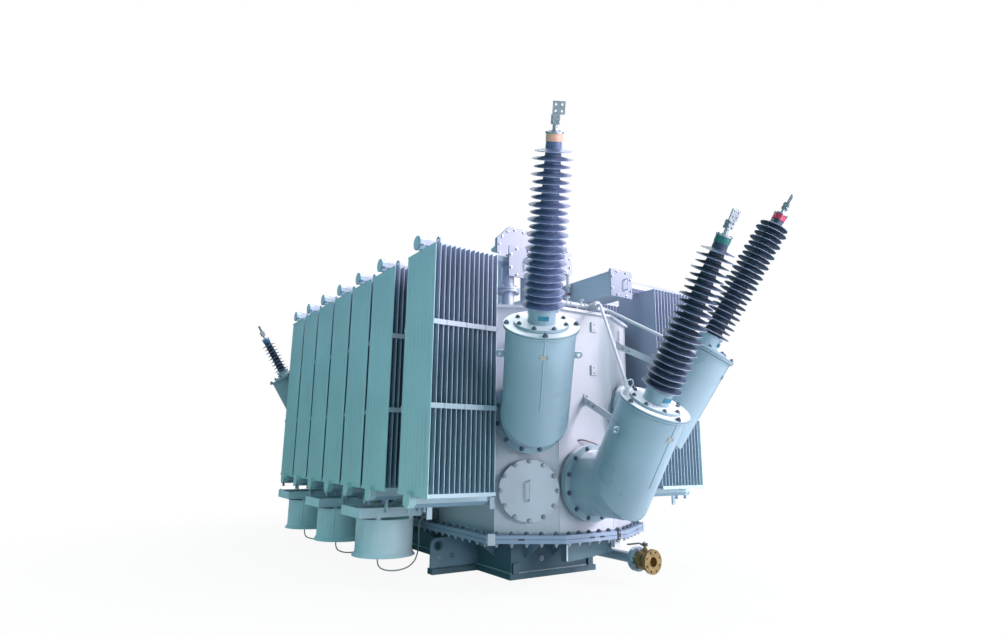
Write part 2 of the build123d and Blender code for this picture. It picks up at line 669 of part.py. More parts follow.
hv_lift = TURRET_PLATE + BUSHING_FLANGE + BUSHING_NECK
hv_turret = make_turret(TURRET_RADIUS, TURRET_RUN, TURRET_DRUM, TURRET_FLANGE_RADIUS, TURRET_PLATE_RADIUS,
                        TURRET_PLATE, BUSHING_FLANGE_RADIUS, BUSHING_NECK_RADIUS, BUSHING_NECK)
hv_wall_flange = make_wall_flange(TURRET_RADIUS, TURRET_FLANGE_RADIUS)
hv_sheds = insulator_plane(TURRET_RUN, TURRET_DRUM, hv_lift).location * make_sheds(
    HV_SHED_COUNT, HV_SHED_LENGTH, HV_SHED_BOTTOM, HV_SHED_TOP, HV_SHED_STEP, HV_CORE_BOTTOM, HV_CORE_TOP,
    HV_CORE_TAIL)
hv_cap_plane = insulator_plane(TURRET_RUN, TURRET_DRUM, hv_lift + HV_SHED_LENGTH + HV_CORE_TAIL)
hv_cap = hv_cap_plane.location * Cylinder(HV_CAP_RADIUS, HV_CAP_HEIGHT,
                                          align=(Align.CENTER, Align.CENTER, Align.MIN))
hv_terminal = hv_cap_plane.offset(HV_CAP_HEIGHT).location * make_terminal(HV_CAP_RADIUS)

phases = {
    "a": Pos(-CHAMFER_X, -CHAMFER_Y, OUTER_PHASE_Z) * Rot(0, 0, -CHAMFER_BEARING) * Pos(TURRET_SHIFT, 0, 0),
    "b": Pos(0, -TANK_HALF_LENGTH, MIDDLE_PHASE_Z) * Rot(0, 0, 0),
    "c": Pos(CHAMFER_X, -CHAMFER_Y, OUTER_PHASE_Z) * Rot(0, 0, CHAMFER_BEARING) * Pos(-TURRET_SHIFT, 0, 0),
}
for letter, place in phases.items():
    parts["hv_turret_" + letter] = place * hv_turret
    parts["hv_bushing_" + letter] = place * hv_sheds
    parts["hv_cap_" + letter] = place * hv_cap

# Rear bushings on both side walls and on the rear face
rear_lift = REAR_PLATE + BUSHING_FLANGE + REAR_NECK
rear_turret = make_turret(REAR_RADIUS, REAR_RUN, REAR_DRUM, REAR_FLANGE_RADIUS, REAR_PLATE_RADIUS,
                          REAR_PLATE, REAR_BUSHING_FLANGE_RADIUS, REAR_NECK_RADIUS, REAR_NECK)
rear_wall_flange = make_wall_flange(REAR_RADIUS, REAR_FLANGE_RADIUS)
rear_sheds = insulator_plane(REAR_RUN, REAR_DRUM, rear_lift).location * make_sheds(
    REAR_SHED_COUNT, REAR_SHED_LENGTH, REAR_SHED_BOTTOM, REAR_SHED_TOP, REAR_SHED_STEP,
    REAR_CORE_BOTTOM, REAR_CORE_TOP, REAR_CORE_TAIL)
rear_cap_plane = insulator_plane(REAR_RUN, REAR_DRUM, rear_lift + REAR_SHED_LENGTH + REAR_CORE_TAIL)
rear_cap = rear_cap_plane.location * Cylinder(REAR_CAP_RADIUS, REAR_CAP_HEIGHT,
                                              align=(Align.CENTER, Align.CENTER, Align.MIN))
rear_terminal = rear_cap_plane.offset(REAR_CAP_HEIGHT).location * make_terminal(REAR_CAP_RADIUS)
rear_places = [
    Pos(-TANK_HALF_WIDTH, REAR_Y, REAR_Z) * Rot(0, 0, -90),
    Pos(TANK_HALF_WIDTH, REAR_Y, REAR_Z) * Rot(0, 0, 90),
    Pos(0, TANK_HALF_LENGTH, REAR_END_Z) * Rot(0, 0, 180),
]
parts["wall_flanges"] = solids(*[place * hv_wall_flange for place in phases.values()],
                               *[place * rear_wall_flange for place in rear_places])
parts["rear_turrets"] = solids(*[place * rear_turret for place in rear_places])
parts["rear_bushings"] = solids(*[place * rear_sheds for place in rear_places])
parts["rear_caps"] = solids(*[place * rear_cap for place in rear_places])
parts["terminals"] = solids(*[place * hv_terminal for place in phases.values()],
                            *[place * rear_terminal for place in rear_places])


# Boxes and duct on the cover
def box_outline(half_width, low, high, chamfer):
    """Outline of the box's front, with cut upper corners."""
    right = [(half_width, low), (half_width, high - chamfer), (half_width - chamfer, high)]
    left = [(-x, z) for x, z in reversed(right)]
    return make_face(Polyline(*right, *left, close=True))


def front_plane(y):
    """A plane across the tank whose normal points to the high voltage end."""
    return Plane(origin=(0, y, 0), x_dir=(1, 0, 0), z_dir=(0, -1, 0))


def flanged_neck(x, y, radius, top):
    """A round neck with a bolted joint, standing on the cover."""
    neck = Pos(x, y, COVER_TOP) * Cylinder(radius, top - COVER_TOP,
                                           align=(Align.CENTER, Align.CENTER, Align.MIN))
    joint = Pos(x, y, COVER_TOP + JOINT_LIFT) * Cylinder(
        radius + BOX_JOINT_RADIUS - BOX_NECK_RADIUS, JOINT_THICKNESS,
        align=(Align.CENTER, Align.CENTER, Align.MIN))
    return neck + joint


def make_top_box():
    """The wide box with cut corners, its rim and the two necks that carry it."""
    inner = box_outline(BOX_HALF_WIDTH - BOX_RIM, BOX_BOTTOM + BOX_RIM, BOX_TOP - BOX_RIM, BOX_CHAMFER)
    outer = box_outline(BOX_HALF_WIDTH, BOX_BOTTOM, BOX_TOP, BOX_CHAMFER)
    back = front_plane(BOX_Y + BOX_DEPTH)
    box = extrude(back * inner, amount=BOX_DEPTH - BOX_PLATE)
    box = box + extrude(front_plane(BOX_Y + 2 * BOX_PLATE) * outer, amount=BOX_PLATE)
    for x in (-BOX_NECK_X, BOX_NECK_X):
        neck_y = BOX_Y + 2 * BOX_PLATE + BOX_NECK_RADIUS
        box = box + flanged_neck(x, neck_y, BOX_NECK_RADIUS, BOX_BOTTOM + 2 * BOX_RIM)
    return box


def make_side_box():
    """The short box on the left, carried by one neck."""
    body = block(-DUCT_OUTER + SIDE_BOX_INSET, -DUCT_INNER - SIDE_BOX_INSET, DUCT_FRONT,
                 DUCT_FRONT + SIDE_BOX_DEPTH, DUCT_BOTTOM, DUCT_TOP - SIDE_BOX_INSET)
    neck = Pos(-SIDE_NECK_X, SIDE_NECK_Y, COVER_TOP) * Cylinder(
        SIDE_NECK_RADIUS, SIDE_NECK_TOP - COVER_TOP, align=(Align.CENTER, Align.CENTER, Align.MIN))
    return body + neck


def make_duct():
    """The closed duct that collects the right bank's top pipes, on necks from the cover."""
    body = block(DUCT_INNER, DUCT_OUTER, DUCT_FRONT, DUCT_BACK, DUCT_BOTTOM, DUCT_TOP)
    for y in (DUCT_FRONT, DUCT_BACK - DUCT_PLATE):
        body = body + duct_plate(DUCT_INNER, DUCT_OUTER, y)
    for k in (1, 3, 5):
        y = (RADIATOR_YS[k] + RADIATOR_YS[k + 1]) / 2
        middle = (DUCT_INNER + DUCT_OUTER) / 2
        body = body + flanged_neck(middle, y, DUCT_NECK_RADIUS, DUCT_BOTTOM + DUCT_PLATE)
    return body


def duct_plate(x0, x1, y):
    """A plate across the duct's end that stands proud of it all round."""
    return block(x0 - DUCT_RIM, x1 + DUCT_RIM, y, y + DUCT_PLATE, DUCT_BOTTOM - DUCT_RIM, DUCT_TOP + DUCT_RIM)


def make_box_covers():
    """The bolted front plates of the boxes and both ends of the duct."""
    outer = box_outline(BOX_HALF_WIDTH, BOX_BOTTOM, BOX_TOP, BOX_CHAMFER)
    return solids(extrude(front_plane(BOX_Y + BOX_PLATE) * outer, amount=BOX_PLATE),
                  duct_plate(-DUCT_OUTER, -DUCT_INNER, DUCT_FRONT - DUCT_PLATE),
                  duct_plate(DUCT_INNER, DUCT_OUTER, DUCT_FRONT - DUCT_PLATE),
                  duct_plate(DUCT_INNER, DUCT_OUTER, DUCT_BACK))


parts["top_box"] = make_top_box()
parts["side_box"] = make_side_box()
parts["duct"] = make_duct()
parts["box_covers"] = make_box_covers()


# Manhole covers on both chamfers of the high voltage end
def make_manhole(radius, near, far):
    wall = Plane(origin=(0, 0, 0), x_dir=(1, 0, 0), z_dir=(0, -1, 0))
    return extrude(wall.offset(near) * Circle(radius), amount=far - near)


manhole_places = [Pos(side * CHAMFER_X, -CHAMFER_Y, MANHOLE_Z) * Rot(0, 0, side * CHAMFER_BEARING)
                  * Pos(-side * MANHOLE_SHIFT, 0, 0) for side in (-1, 1)]
manhole = make_manhole(MANHOLE_NECK_RADIUS, 0, MANHOLE_NECK) + make_manhole(
    MANHOLE_RADIUS, MANHOLE_NECK, MANHOLE_NECK + MANHOLE_COVER)
parts["manhole_covers"] = solids(*[place * manhole for place in manhole_places])

# Drain pipe, ball valve and lever
drain_start = -LOWER_HALF_LENGTH
pipe_end = drain_start - DRAIN_PIPE_LENGTH
valve_middle = pipe_end - DRAIN_FLANGE - VALVE_LENGTH / 2
drain_wall = Plane(origin=(DRAIN_X, drain_start, DRAIN_Z), x_dir=(1, 0, 0), z_dir=(0, -1, 0))


def bolt_circle(radius):
    places = PolarLocations(VALVE_HOLE_CIRCLE / 2, VALVE_HOLE_COUNT, start_angle=180 / VALVE_HOLE_COUNT)
    return places * Circle(radius)


def make_drain_pipe():
    pipe = extrude(drain_wall * Circle(DRAIN_PIPE_RADIUS), amount=DRAIN_PIPE_LENGTH)
    flange = extrude(drain_wall.offset(DRAIN_PIPE_LENGTH) * Circle(DRAIN_FLANGE_RADIUS), amount=DRAIN_FLANGE)
    return pipe + flange


def make_drain_valve():
    """A flanged ball valve: two drilled flanges, a waist and the stem's boss."""
    start = drain_wall.offset(DRAIN_PIPE_LENGTH + DRAIN_FLANGE)
    drilled = Circle(DRAIN_FLANGE_RADIUS) - bolt_circle(VALVE_HOLE_RADIUS)
    body = extrude(start * Circle(VALVE_BODY_RADIUS), amount=VALVE_LENGTH)
    body = body + extrude(start * Circle(DRAIN_FLANGE_RADIUS), amount=DRAIN_FLANGE)
    body = body + extrude(start.offset(VALVE_LENGTH - DRAIN_FLANGE) * drilled, amount=DRAIN_FLANGE)
    body = body - extrude(start.offset(VALVE_LENGTH) * Circle(VALVE_BORE_RADIUS), amount=-VALVE_BORE_DEPTH)
    stem = Pos(DRAIN_X, valve_middle, DRAIN_Z) * Cylinder(
        VALVE_STEM_RADIUS, VALVE_STEM_TOP, align=(Align.CENTER, Align.CENTER, Align.MIN))
    return body + stem


def make_lever():
    """The cranked lever that sits on the valve's stem, pointing across the pipe."""
    hub = Cylinder(LEVER_HUB_RADIUS, LEVER_HUB_HEIGHT, align=(Align.CENTER, Align.CENTER, Align.MIN))
    rise = LEVER_RISE
    side = make_face(Polyline((0, 0), (-LEVER_HUB_RADIUS, 0), (-LEVER_CRANK, rise), (-LEVER_LENGTH, rise),
                              (-LEVER_LENGTH, rise + LEVER_THICKNESS), (-LEVER_CRANK, rise + LEVER_THICKNESS),
                              (-LEVER_HUB_RADIUS, LEVER_THICKNESS), (0, LEVER_THICKNESS), close=True))
    arm = extrude(Plane.XZ * side, amount=LEVER_WIDTH / 2, both=True)
    lever = hub + arm
    return Pos(DRAIN_X, valve_middle, DRAIN_Z + VALVE_STEM_TOP + CLEARANCE) * lever


parts["drain_pipe"] = make_drain_pipe()
parts["drain_valve"] = make_drain_valve()
parts["valve_lever"] = make_lever()


# Gas pipes, stays and cables
def place_point(place, point):
    """Where a point of a turret's own frame lies."""
    return (place * Pos(*point)).position


def tube(points, radius, bends):
    """A round tube along straight runs joined by arcs."""
    path = FilletPolyline(*points, radius=bends)
    start = Plane(origin=points[0], z_dir=points[1] - points[0])
    return sweep(start * Circle(radius), path=path)


def make_gas_pipe(letter, foot, *start):
    """A pipe that ends squarely on the rim of a turret's top plate."""
    axis = turret_axis()
    back = axis.cross(Vector(1, 0, 0))
    end = drum_end(TURRET_RUN, TURRET_DRUM) + axis * TURRET_PLATE + Vector(foot[0], 0, 0) + back * foot[1]
    above = end + axis * GAS_FOOT_RISE
    points = list(start) + [place_point(phases[letter], above), place_point(phases[letter], end)]
    return tube(points, GAS_PIPE_RADIUS, GAS_BEND)


def make_side_pipe(letter, *start):
    """A pipe that ends squarely on the inner side of a turret's drum."""
    level = drum_end(TURRET_RUN, TURRET_DRUM - GAS_SIDE_DROP)
    points = list(start)
    for out in (TURRET_RADIUS + GAS_SIDE_OUT, TURRET_RADIUS):
        points.append(place_point(phases[letter], level - Vector(out, 0, 0)))
    return tube(points, GAS_PIPE_RADIUS, GAS_BEND)


def make_gas_pipes():
    """The collector on its posts, the pot in front of the cover's edge and the three pipes."""
    across = Plane(origin=(COLLECTOR_LEFT, COLLECTOR_Y, COLLECTOR_Z), x_dir=(0, 1, 0), z_dir=(1, 0, 0))
    body = extrude(across * Circle(COLLECTOR_RADIUS), amount=COLLECTOR_RIGHT - COLLECTOR_LEFT)
    for x in COLLECTOR_POSTS:
        body = body + Pos(x, COLLECTOR_Y, COVER_TOP) * Cylinder(
            POST_RADIUS, COLLECTOR_Z - COVER_TOP, align=(Align.CENTER, Align.CENTER, Align.MIN))
    pot = Plane(origin=(POT_X, COLLECTOR_Y, COLLECTOR_Z), x_dir=(1, 0, 0), z_dir=(0, -1, 0))
    pot_end = Vector(POT_X, COLLECTOR_Y - POT_LENGTH, COLLECTOR_Z)
    body = body + extrude(pot * Circle(POT_RADIUS), amount=POT_LENGTH)
    end = Vector(COLLECTOR_RIGHT, COLLECTOR_Y, COLLECTOR_Z)
    start = Vector(COLLECTOR_LEFT, COLLECTOR_Y, COLLECTOR_Z)
    body = body + make_gas_pipe("a", GAS_FOOT_A, start, start - Vector(2 * GAS_BEND, 0, 0))
    body = body + make_gas_pipe("b", GAS_FOOT_B, pot_end, pot_end - Vector(0, GAS_BEND, 0))
    return body + make_side_pipe("c", end, end + Vector(GAS_BEND, 0, 0))


def make_flange_box():
    """A box under the flange's front with a slanting bottom."""
    front = front_plane(-TANK_HALF_LENGTH)
    low_left = FLANGE_BOTTOM - FLANGE_BOX_DROP_LEFT
    low_right = FLANGE_BOTTOM - FLANGE_BOX_DROP_RIGHT
    outline = Polyline((FLANGE_BOX_LEFT, low_left), (FLANGE_BOX_RIGHT, low_right),
                       (FLANGE_BOX_RIGHT, FLANGE_BOTTOM), (FLANGE_BOX_LEFT, FLANGE_BOTTOM), close=True)
    return extrude(front * make_face(outline), amount=-FLANGE_BOX_DEPTH)


def make_stay():
    """A flat bar from a foot on the wall down to the back of the drum, in a turret's own frame."""
    plane = Plane(origin=(STAY_X, 0, 0), x_dir=(0, -1, 0), z_dir=(-1, 0, 0))
    drum = drum_end(TURRET_RUN, STAY_DRUM) + turret_axis().cross(Vector(1, 0, 0)) * TURRET_RADIUS
    wall = Vector(0, STAY_WALL_Z)
    end = Vector(-drum.Y, drum.Z)
    along = (end - wall).normalized()
    side = Vector(-along.Y, along.X) * STAY_WIDTH / 2
    past = end + along * STAY_OVERRUN
    half_cut = STAY_WIDTH / 2 / along.X
    outline = Polyline((0, STAY_WALL_Z + half_cut), (0, STAY_WALL_Z - half_cut),
                       (past.X - side.X, past.Y - side.Y), (past.X + side.X, past.Y + side.Y), close=True)
    bar = extrude(plane * make_face(outline), amount=STAY_THICKNESS / 2, both=True) - hv_turret
    foot = block(STAY_X, STAY_X + STAY_FOOT_WIDTH, -STAY_THICKNESS, 0,
                 STAY_WALL_Z - STAY_FOOT_HEIGHT / 2, STAY_WALL_Z + STAY_FOOT_HEIGHT / 2)
    return bar + foot


def make_cable_box(y):
    """A box on the left wall with the gland that a fan's cable runs into."""
    outer = -TANK_HALF_WIDTH - CABLE_BOX_DEPTH
    middle = y + CABLE_END_Y
    box = block(outer, -TANK_HALF_WIDTH, middle - CABLE_BOX_WIDTH / 2, middle + CABLE_BOX_WIDTH / 2,
                CABLE_BOX_BOTTOM, CABLE_BOX_BOTTOM + CABLE_BOX_HEIGHT)
    gland = Plane(origin=(outer, middle, CABLE_END_Z), x_dir=(0, 1, 0), z_dir=(-1, 0, 0))
    return box + extrude(gland * Circle(GLAND_RADIUS), amount=CABLE_GLAND)


def make_cable(y):
    """A cable that hangs from a left fan's motor in one long sag and climbs to its box."""
    start = Vector(-FAN_X - MOTOR_GLAND_X, y + MOTOR_GLAND_Y, MOTOR_BOTTOM - MOTOR_GLAND)
    end = Vector(-TANK_HALF_WIDTH - CABLE_BOX_DEPTH - CABLE_GLAND, y + CABLE_END_Y, CABLE_END_Z)
    span = end.X - start.X
    middle = [Vector(start.X + u * span, y - v * CABLE_SWING, w * CABLE_END_Z) for u, v, w in CABLE_SHARES]
    lead = start - Vector(0, 0, CABLE_LEAD)
    tail = end - Vector(CABLE_TAIL, 0, 0)
    route = [start, lead] + middle + [tail, end]
    bends = []
    for before, at, after in zip(route, route[1:], route[2:]):
        shorter = min((at - before).length, (after - at).length)
        half_turn = radians((at - before).get_angle(after - at) / 2)
        bends.append(CABLE_EASE * shorter / tan(half_turn))
    cable = tube(route, CABLE_DIAMETER / 2, bends)
    path = FilletPolyline(*route, radius=bends)
    section = pi * CABLE_DIAMETER ** 2 / 4
    print("cable bends", [round(bend) for bend in bends], "length", round(path.length),
          "volume ratio", round(cable.volume / section / path.length, 4))
    return cable


parts["gas_pipes"] = make_gas_pipes()
parts["flange_box"] = make_flange_box()
parts["turret_stays"] = solids(*[place * make_stay() for place in phases.values()])
parts["cable_boxes"] = solids(*[make_cable_box(y) for y in FAN_YS])
for number, y in enumerate(FAN_YS):
    parts["fan_cable_" + str(number + 1)] = make_cable(y)

for name, shape in parts.items():
    export_step(shape, "parts/" + name + ".step")
print(len(parts), "nodes")
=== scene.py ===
import bpy
import bmesh
import json
import math
import random
from types import SimpleNamespace
from mathutils import Matrix, Vector


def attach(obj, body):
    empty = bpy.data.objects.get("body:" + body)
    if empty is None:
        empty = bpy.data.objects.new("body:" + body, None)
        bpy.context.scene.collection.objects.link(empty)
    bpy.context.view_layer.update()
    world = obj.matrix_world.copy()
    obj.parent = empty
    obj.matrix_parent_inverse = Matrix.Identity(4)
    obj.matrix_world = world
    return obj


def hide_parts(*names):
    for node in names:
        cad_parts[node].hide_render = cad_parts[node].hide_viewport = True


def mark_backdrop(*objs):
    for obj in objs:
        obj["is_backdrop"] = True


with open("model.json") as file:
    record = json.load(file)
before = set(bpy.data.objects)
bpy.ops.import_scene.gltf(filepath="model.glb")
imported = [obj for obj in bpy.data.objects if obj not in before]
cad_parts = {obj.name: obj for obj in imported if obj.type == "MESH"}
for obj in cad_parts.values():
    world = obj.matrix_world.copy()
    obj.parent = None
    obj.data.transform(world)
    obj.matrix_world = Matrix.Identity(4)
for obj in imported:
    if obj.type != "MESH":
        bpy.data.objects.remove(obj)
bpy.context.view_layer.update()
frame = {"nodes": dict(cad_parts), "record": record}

BODY = "transformer"
LEVER = "lever"
MM = 0.001


# Materials
class Tree:
    """The nodes of a material or world, with short ways to add the usual ones."""

    def __init__(self, owner):
        owner.use_nodes = True
        self.nodes = owner.node_tree.nodes
        self.new = self.nodes.new
        self.link = owner.node_tree.links.new

    def mix(self, factor, a, b):
        node = self.new("ShaderNodeMix")
        node.data_type = "RGBA"
        self.link(factor, node.inputs["Factor"])
        for socket, value in ((node.inputs["A"], a), (node.inputs["B"], b)):
            if isinstance(value, tuple):
                socket.default_value = (*value, 1.0)
            else:
                self.link(value, socket)
        return node.outputs["Result"]

    def ramp(self, source, start, end, low=0.0, high=1.0):
        """Goes from low to high while the source goes from start to end."""
        node = self.new("ShaderNodeMapRange")
        for name, value in (("From Min", start), ("From Max", end), ("To Min", low), ("To Max", high)):
            node.inputs[name].default_value = value
        self.link(source, node.inputs["Value"])
        return node.outputs["Result"]

    def math(self, operation, a, b=None):
        node = self.new("ShaderNodeMath")
        node.operation = operation
        for socket, value in zip(node.inputs, (a, b)):
            if isinstance(value, float):
                socket.default_value = value
            elif value is not None:
                self.link(value, socket)
        return node.outputs[0]

    def axes(self, vector):
        """The X, Y and Z of a vector, by name."""
        node = self.new("ShaderNodeSeparateXYZ")
        self.link(vector, node.inputs[0])
        return node.outputs

    def noise(self, where, scale, detail=3.0, stretch=None):
        node = self.new("ShaderNodeTexNoise")
        node.inputs["Scale"].default_value = scale
        node.inputs["Detail"].default_value = detail
        if stretch:
            mapping = self.new("ShaderNodeMapping")
            mapping.inputs["Scale"].default_value = stretch
            self.link(where, mapping.inputs["Vector"])
            where = mapping.outputs["Vector"]
        self.link(where, node.inputs["Vector"])
        return node.outputs["Fac"]

    def either(self, factor, first, second):
        """Mixes two shaders."""
        node = self.new("ShaderNodeMixShader")
        self.link(factor, node.inputs["Fac"])
        self.link(first, node.inputs[1])
        self.link(second, node.inputs[2])
        return node.outputs[0]


PAINTS = {}


class Surface(Tree):
    """A new material with one shader, kept in PAINTS by its name."""

    def __init__(self, name, roughness, metallic=0.0, coat=0.0):
        PAINTS[name] = bpy.data.materials.new(name)
        super().__init__(PAINTS[name])
        self.sockets = self.nodes["Principled BSDF"].inputs
        self.set("Metallic", metallic)
        self.set("Roughness", roughness)
        self.set("Coat Weight", coat)
        self.set("Coat Roughness", 0.25)
        self.where = self.new("ShaderNodeTexCoord").outputs["Object"]

    def set(self, name, value):
        self.sockets[name].default_value = value

    def colour(self, tone):
        self.link(tone, self.sockets["Base Color"])

    def gloss(self, source, low, high):
        self.link(self.ramp(source, 0.0, 1.0, low, high), self.sockets["Roughness"])

    def bump(self, height, strength, distance):
        node = self.new("ShaderNodeBump")
        node.inputs["Strength"].default_value = strength
        node.inputs["Distance"].default_value = distance
        self.link(height, node.inputs["Height"])
        self.link(node.outputs["Normal"], self.sockets["Normal"])


def shade(colour, factor, more=0.0):
    return tuple(min(1.0, c * factor + more) for c in colour)


def paint(name, colour, roughness=0.42, dirt=0.5, streaks=0.0, lit_top_colour=None):
    """Sprayed enamel on steel: faint clouds of colour, a little dust, orange peel in the gloss.

    Where a top colour is given, faces that look up turn to it: painted light on the tops.
    """
    s = Surface(name, roughness, coat=0.15)
    clouds = s.noise(s.where, 1.7, 4.0)
    tone = s.mix(s.ramp(clouds, 0.32, 0.7), shade(colour, 0.86), shade(colour, 1.07, 0.012))
    specks = s.ramp(s.noise(s.where, 38.0, 6.0), 0.62, 0.78)
    tone = s.mix(s.math("MULTIPLY", specks, 0.22 * dirt), tone, shade(colour, 0.62))
    if streaks:
        runs = s.ramp(s.noise(s.where, 9.0, 3.0, stretch=(3.0, 3.0, 0.18)), 0.5, 0.72)
        tone = s.mix(s.math("MULTIPLY", runs, streaks), tone, shade(colour, 0.78))
    # Painted light: faces that look up take the paler top colour.
    if lit_top_colour:
        facing = s.axes(s.new("ShaderNodeNewGeometry").outputs["True Normal"])
        tone = s.mix(s.ramp(facing["Z"], 0.74, 0.82), tone, lit_top_colour)
    s.colour(tone)
    s.gloss(clouds, roughness - 0.07, roughness + 0.12)
    s.bump(s.noise(s.where, 260.0, 2.0), 0.12, 0.0006)


def metal(name, colour, roughness, metallic=0.85):
    """Bare metal with cloudy oxide and fine scratches."""
    s = Surface(name, roughness, metallic)
    s.colour(s.mix(s.ramp(s.noise(s.where, 12.0, 4.0), 0.35, 0.7), shade(colour, 0.6), colour))
    fine = s.noise(s.where, 360.0, 3.0)
    s.gloss(fine, roughness - 0.1, roughness + 0.15)
    s.bump(fine, 0.2, 0.0004)


def rubber(name, colour):
    """Silicone shed rubber: dull, with a light bloom of dust."""
    s = Surface(name, 0.5)
    s.colour(s.mix(s.ramp(s.noise(s.where, 24.0, 5.0), 0.35, 0.75), colour, shade(colour, 1.5, 0.01)))
    s.set("Sheen Weight", 0.06)
    s.set("Sheen Roughness", 0.5)
    s.bump(s.noise(s.where, 320.0, 2.0), 0.12, 0.0005)


# The outer face of the radiators' outer panels, in metres across the tank; beyond it the radiator paint turns
# to the lighter green of painted light
OUTER_FACE = (1.534, 1.537)


def radiator_paint():
    """Painted light and shade on one paint: dark slate on the panel faces between the panels is painted
    shade; pale panel edges and tops, a lighter green on the outer panels, and a shift from greener low down
    to paler and bluer high up are painted light.
    """
    s = Surface("radiator_paint", 0.42, coat=0.1)
    geometry = s.new("ShaderNodeNewGeometry")
    where = geometry.outputs["Position"]
    place = s.axes(where)
    facing = s.axes(geometry.outputs["True Normal"])
    # Painted light: every tone grows paler and bluer from 0.9 m up to 2.9 m
    rise = s.ramp(place["Z"], 0.9, 2.9)
    clouds = s.ramp(s.noise(where, 2.2, 4.0), 0.3, 0.72)
    # Painted shade on the panel faces between the panels; painted light on the panel edges, tops and outer
    # panels
    inner = s.mix(rise, (0.24, 0.36, 0.44), (0.36, 0.40, 0.54))
    edges = s.mix(rise, (0.46, 0.58, 0.64), (0.56, 0.60, 0.72))
    outer = s.mix(rise, (0.45, 0.68, 0.68), (0.54, 0.66, 0.80))
    outer = s.mix(s.math("MULTIPLY", clouds, 0.35), outer, (0.56, 0.76, 0.82))
    tone = s.mix(s.ramp(s.math("ABSOLUTE", facing["Y"]), 0.90, 0.96), inner, edges)
    tone = s.mix(s.ramp(s.math("ABSOLUTE", place["X"]), *OUTER_FACE), tone, outer)
    tone = s.mix(s.ramp(s.math("ABSOLUTE", facing["Z"]), 0.90, 0.96), tone, edges)
    specks = s.ramp(s.noise(where, 40.0, 6.0), 0.62, 0.78)
    s.colour(s.mix(s.math("MULTIPLY", specks, 0.12), tone, (0.05, 0.12, 0.14)))
    s.bump(s.noise(where, 260.0, 2.0), 0.12, 0.0006)


paint("tank_paint", (0.56, 0.59, 0.65), streaks=0.12)
paint("flange_paint", (0.27, 0.35, 0.48), dirt=0.9)
# A lighter copy of the shed rubber for bushing A: painted light, the haze over that bushing.
rubber("shed_painted_light", (0.085, 0.120, 0.235))
# A pale copy of the shed rubber for the shed lips: a painted highlight on the rims.
rubber("shed_lip_highlight", (0.36, 0.40, 0.54))
paint("base_paint", (0.085, 0.16, 0.20), dirt=1.0, streaks=0.3)
radiator_paint()
# A darker copy of the box paint for the box covers, which face the lamps: painted shade.
paint("cover_shaded_paint", (0.20, 0.25, 0.35))
paint("haulage_paint", (0.20, 0.31, 0.40), dirt=1.0)
# A lighter green for the flutes of the outer panels: painted light on the outer face.
paint("outer_lit_paint", (0.49, 0.68, 0.73), streaks=0.18)
# The turrets' faces that look up are painted paler: painted light on the tops.
paint("turret_paint", (0.29, 0.41, 0.48), roughness=0.28, lit_top_colour=(0.80, 0.84, 0.90))
paint("box_paint", (0.42, 0.50, 0.62))
paint("fan_paint", (0.66, 0.80, 0.86))
paint("motor_paint", (0.16, 0.23, 0.26))
rubber("shed_rubber", (0.022, 0.042, 0.085))
paint("cap_orange", (0.92, 0.46, 0.34), roughness=0.3)
paint("cap_green", (0.01, 0.16, 0.16), roughness=0.3)
paint("cap_red", (0.50, 0.03, 0.09), roughness=0.3)
paint("cap_blue", (0.03, 0.17, 0.38), roughness=0.3)
metal("terminal_metal", (0.50, 0.55, 0.60), 0.36)
metal("valve_brass", (0.42, 0.29, 0.13), 0.38)
paint("lever_steel", (0.035, 0.04, 0.045), roughness=0.45)
paint("pale_paint", (0.72, 0.76, 0.80))
metal("bolt_zinc", (0.50, 0.54, 0.60), 0.4, metallic=0.7)
metal("bolt_dark", (0.13, 0.18, 0.24), 0.4, metallic=0.5)
paint("cable_sleeve", (0.42, 0.46, 0.48), roughness=0.5)
metal("plate_metal", (0.60, 0.58, 0.50), 0.42, metallic=0.5)
paint("plate_teal", (0.01, 0.19, 0.30), roughness=0.4)
rubber("gasket", (0.03, 0.035, 0.04))
paint("cable_rubber", (0.03, 0.035, 0.04), roughness=0.5)
paint("gland_black", (0.02, 0.022, 0.025), roughness=0.4)
paint("handle_red", (0.52, 0.05, 0.06), roughness=0.35)
# Nodes painted other than their slot; the box covers take the darker copy of the box paint, as painted shade.
OWN_PAINTS = {
    "haulage_plates": "haulage_paint",
    "flange_gussets": "haulage_paint",
    "box_covers": "cover_shaded_paint",
}

for row in frame["record"]["subparts"]:
    thing = frame["nodes"][row["node"]]
    thing.data.materials.clear()
    thing.data.materials.append(PAINTS[OWN_PAINTS.get(row["node"], row["material_slot"])])


# Shapes, all in millimetres: each is a list of points and a list of faces
def lathe(profile, segments=32):
    """A turned shape round z from (radius, height) pairs; a radius of zero closes it."""
    verts, faces, rings = [], [], []
    for radius, height in profile:
        if radius < 1e-6:
            rings.append([len(verts)] * segments)
            verts.append((0.0, 0.0, height))
            continue
        rings.append(range(len(verts), len(verts) + segments))
        for k in range(segments):
            turn = 2 * math.pi * k / segments
            verts.append((radius * math.cos(turn), radius * math.sin(turn), height))
    for low, high in zip(rings, rings[1:]):
        for k in range(segments):
            n = (k + 1) % segments
            corners = (low[k], low[n], high[n], high[k])
            face = tuple(v for i, v in enumerate(corners) if v != corners[i - 1])
            if len(face) > 2:
                faces.append(face)
    return verts, faces


def from_bmesh(bm):
    bm.verts.index_update()
    shape = [tuple(v.co) for v in bm.verts], [tuple(v.index for v in f.verts) for f in bm.faces]
    bm.free()
    return shape


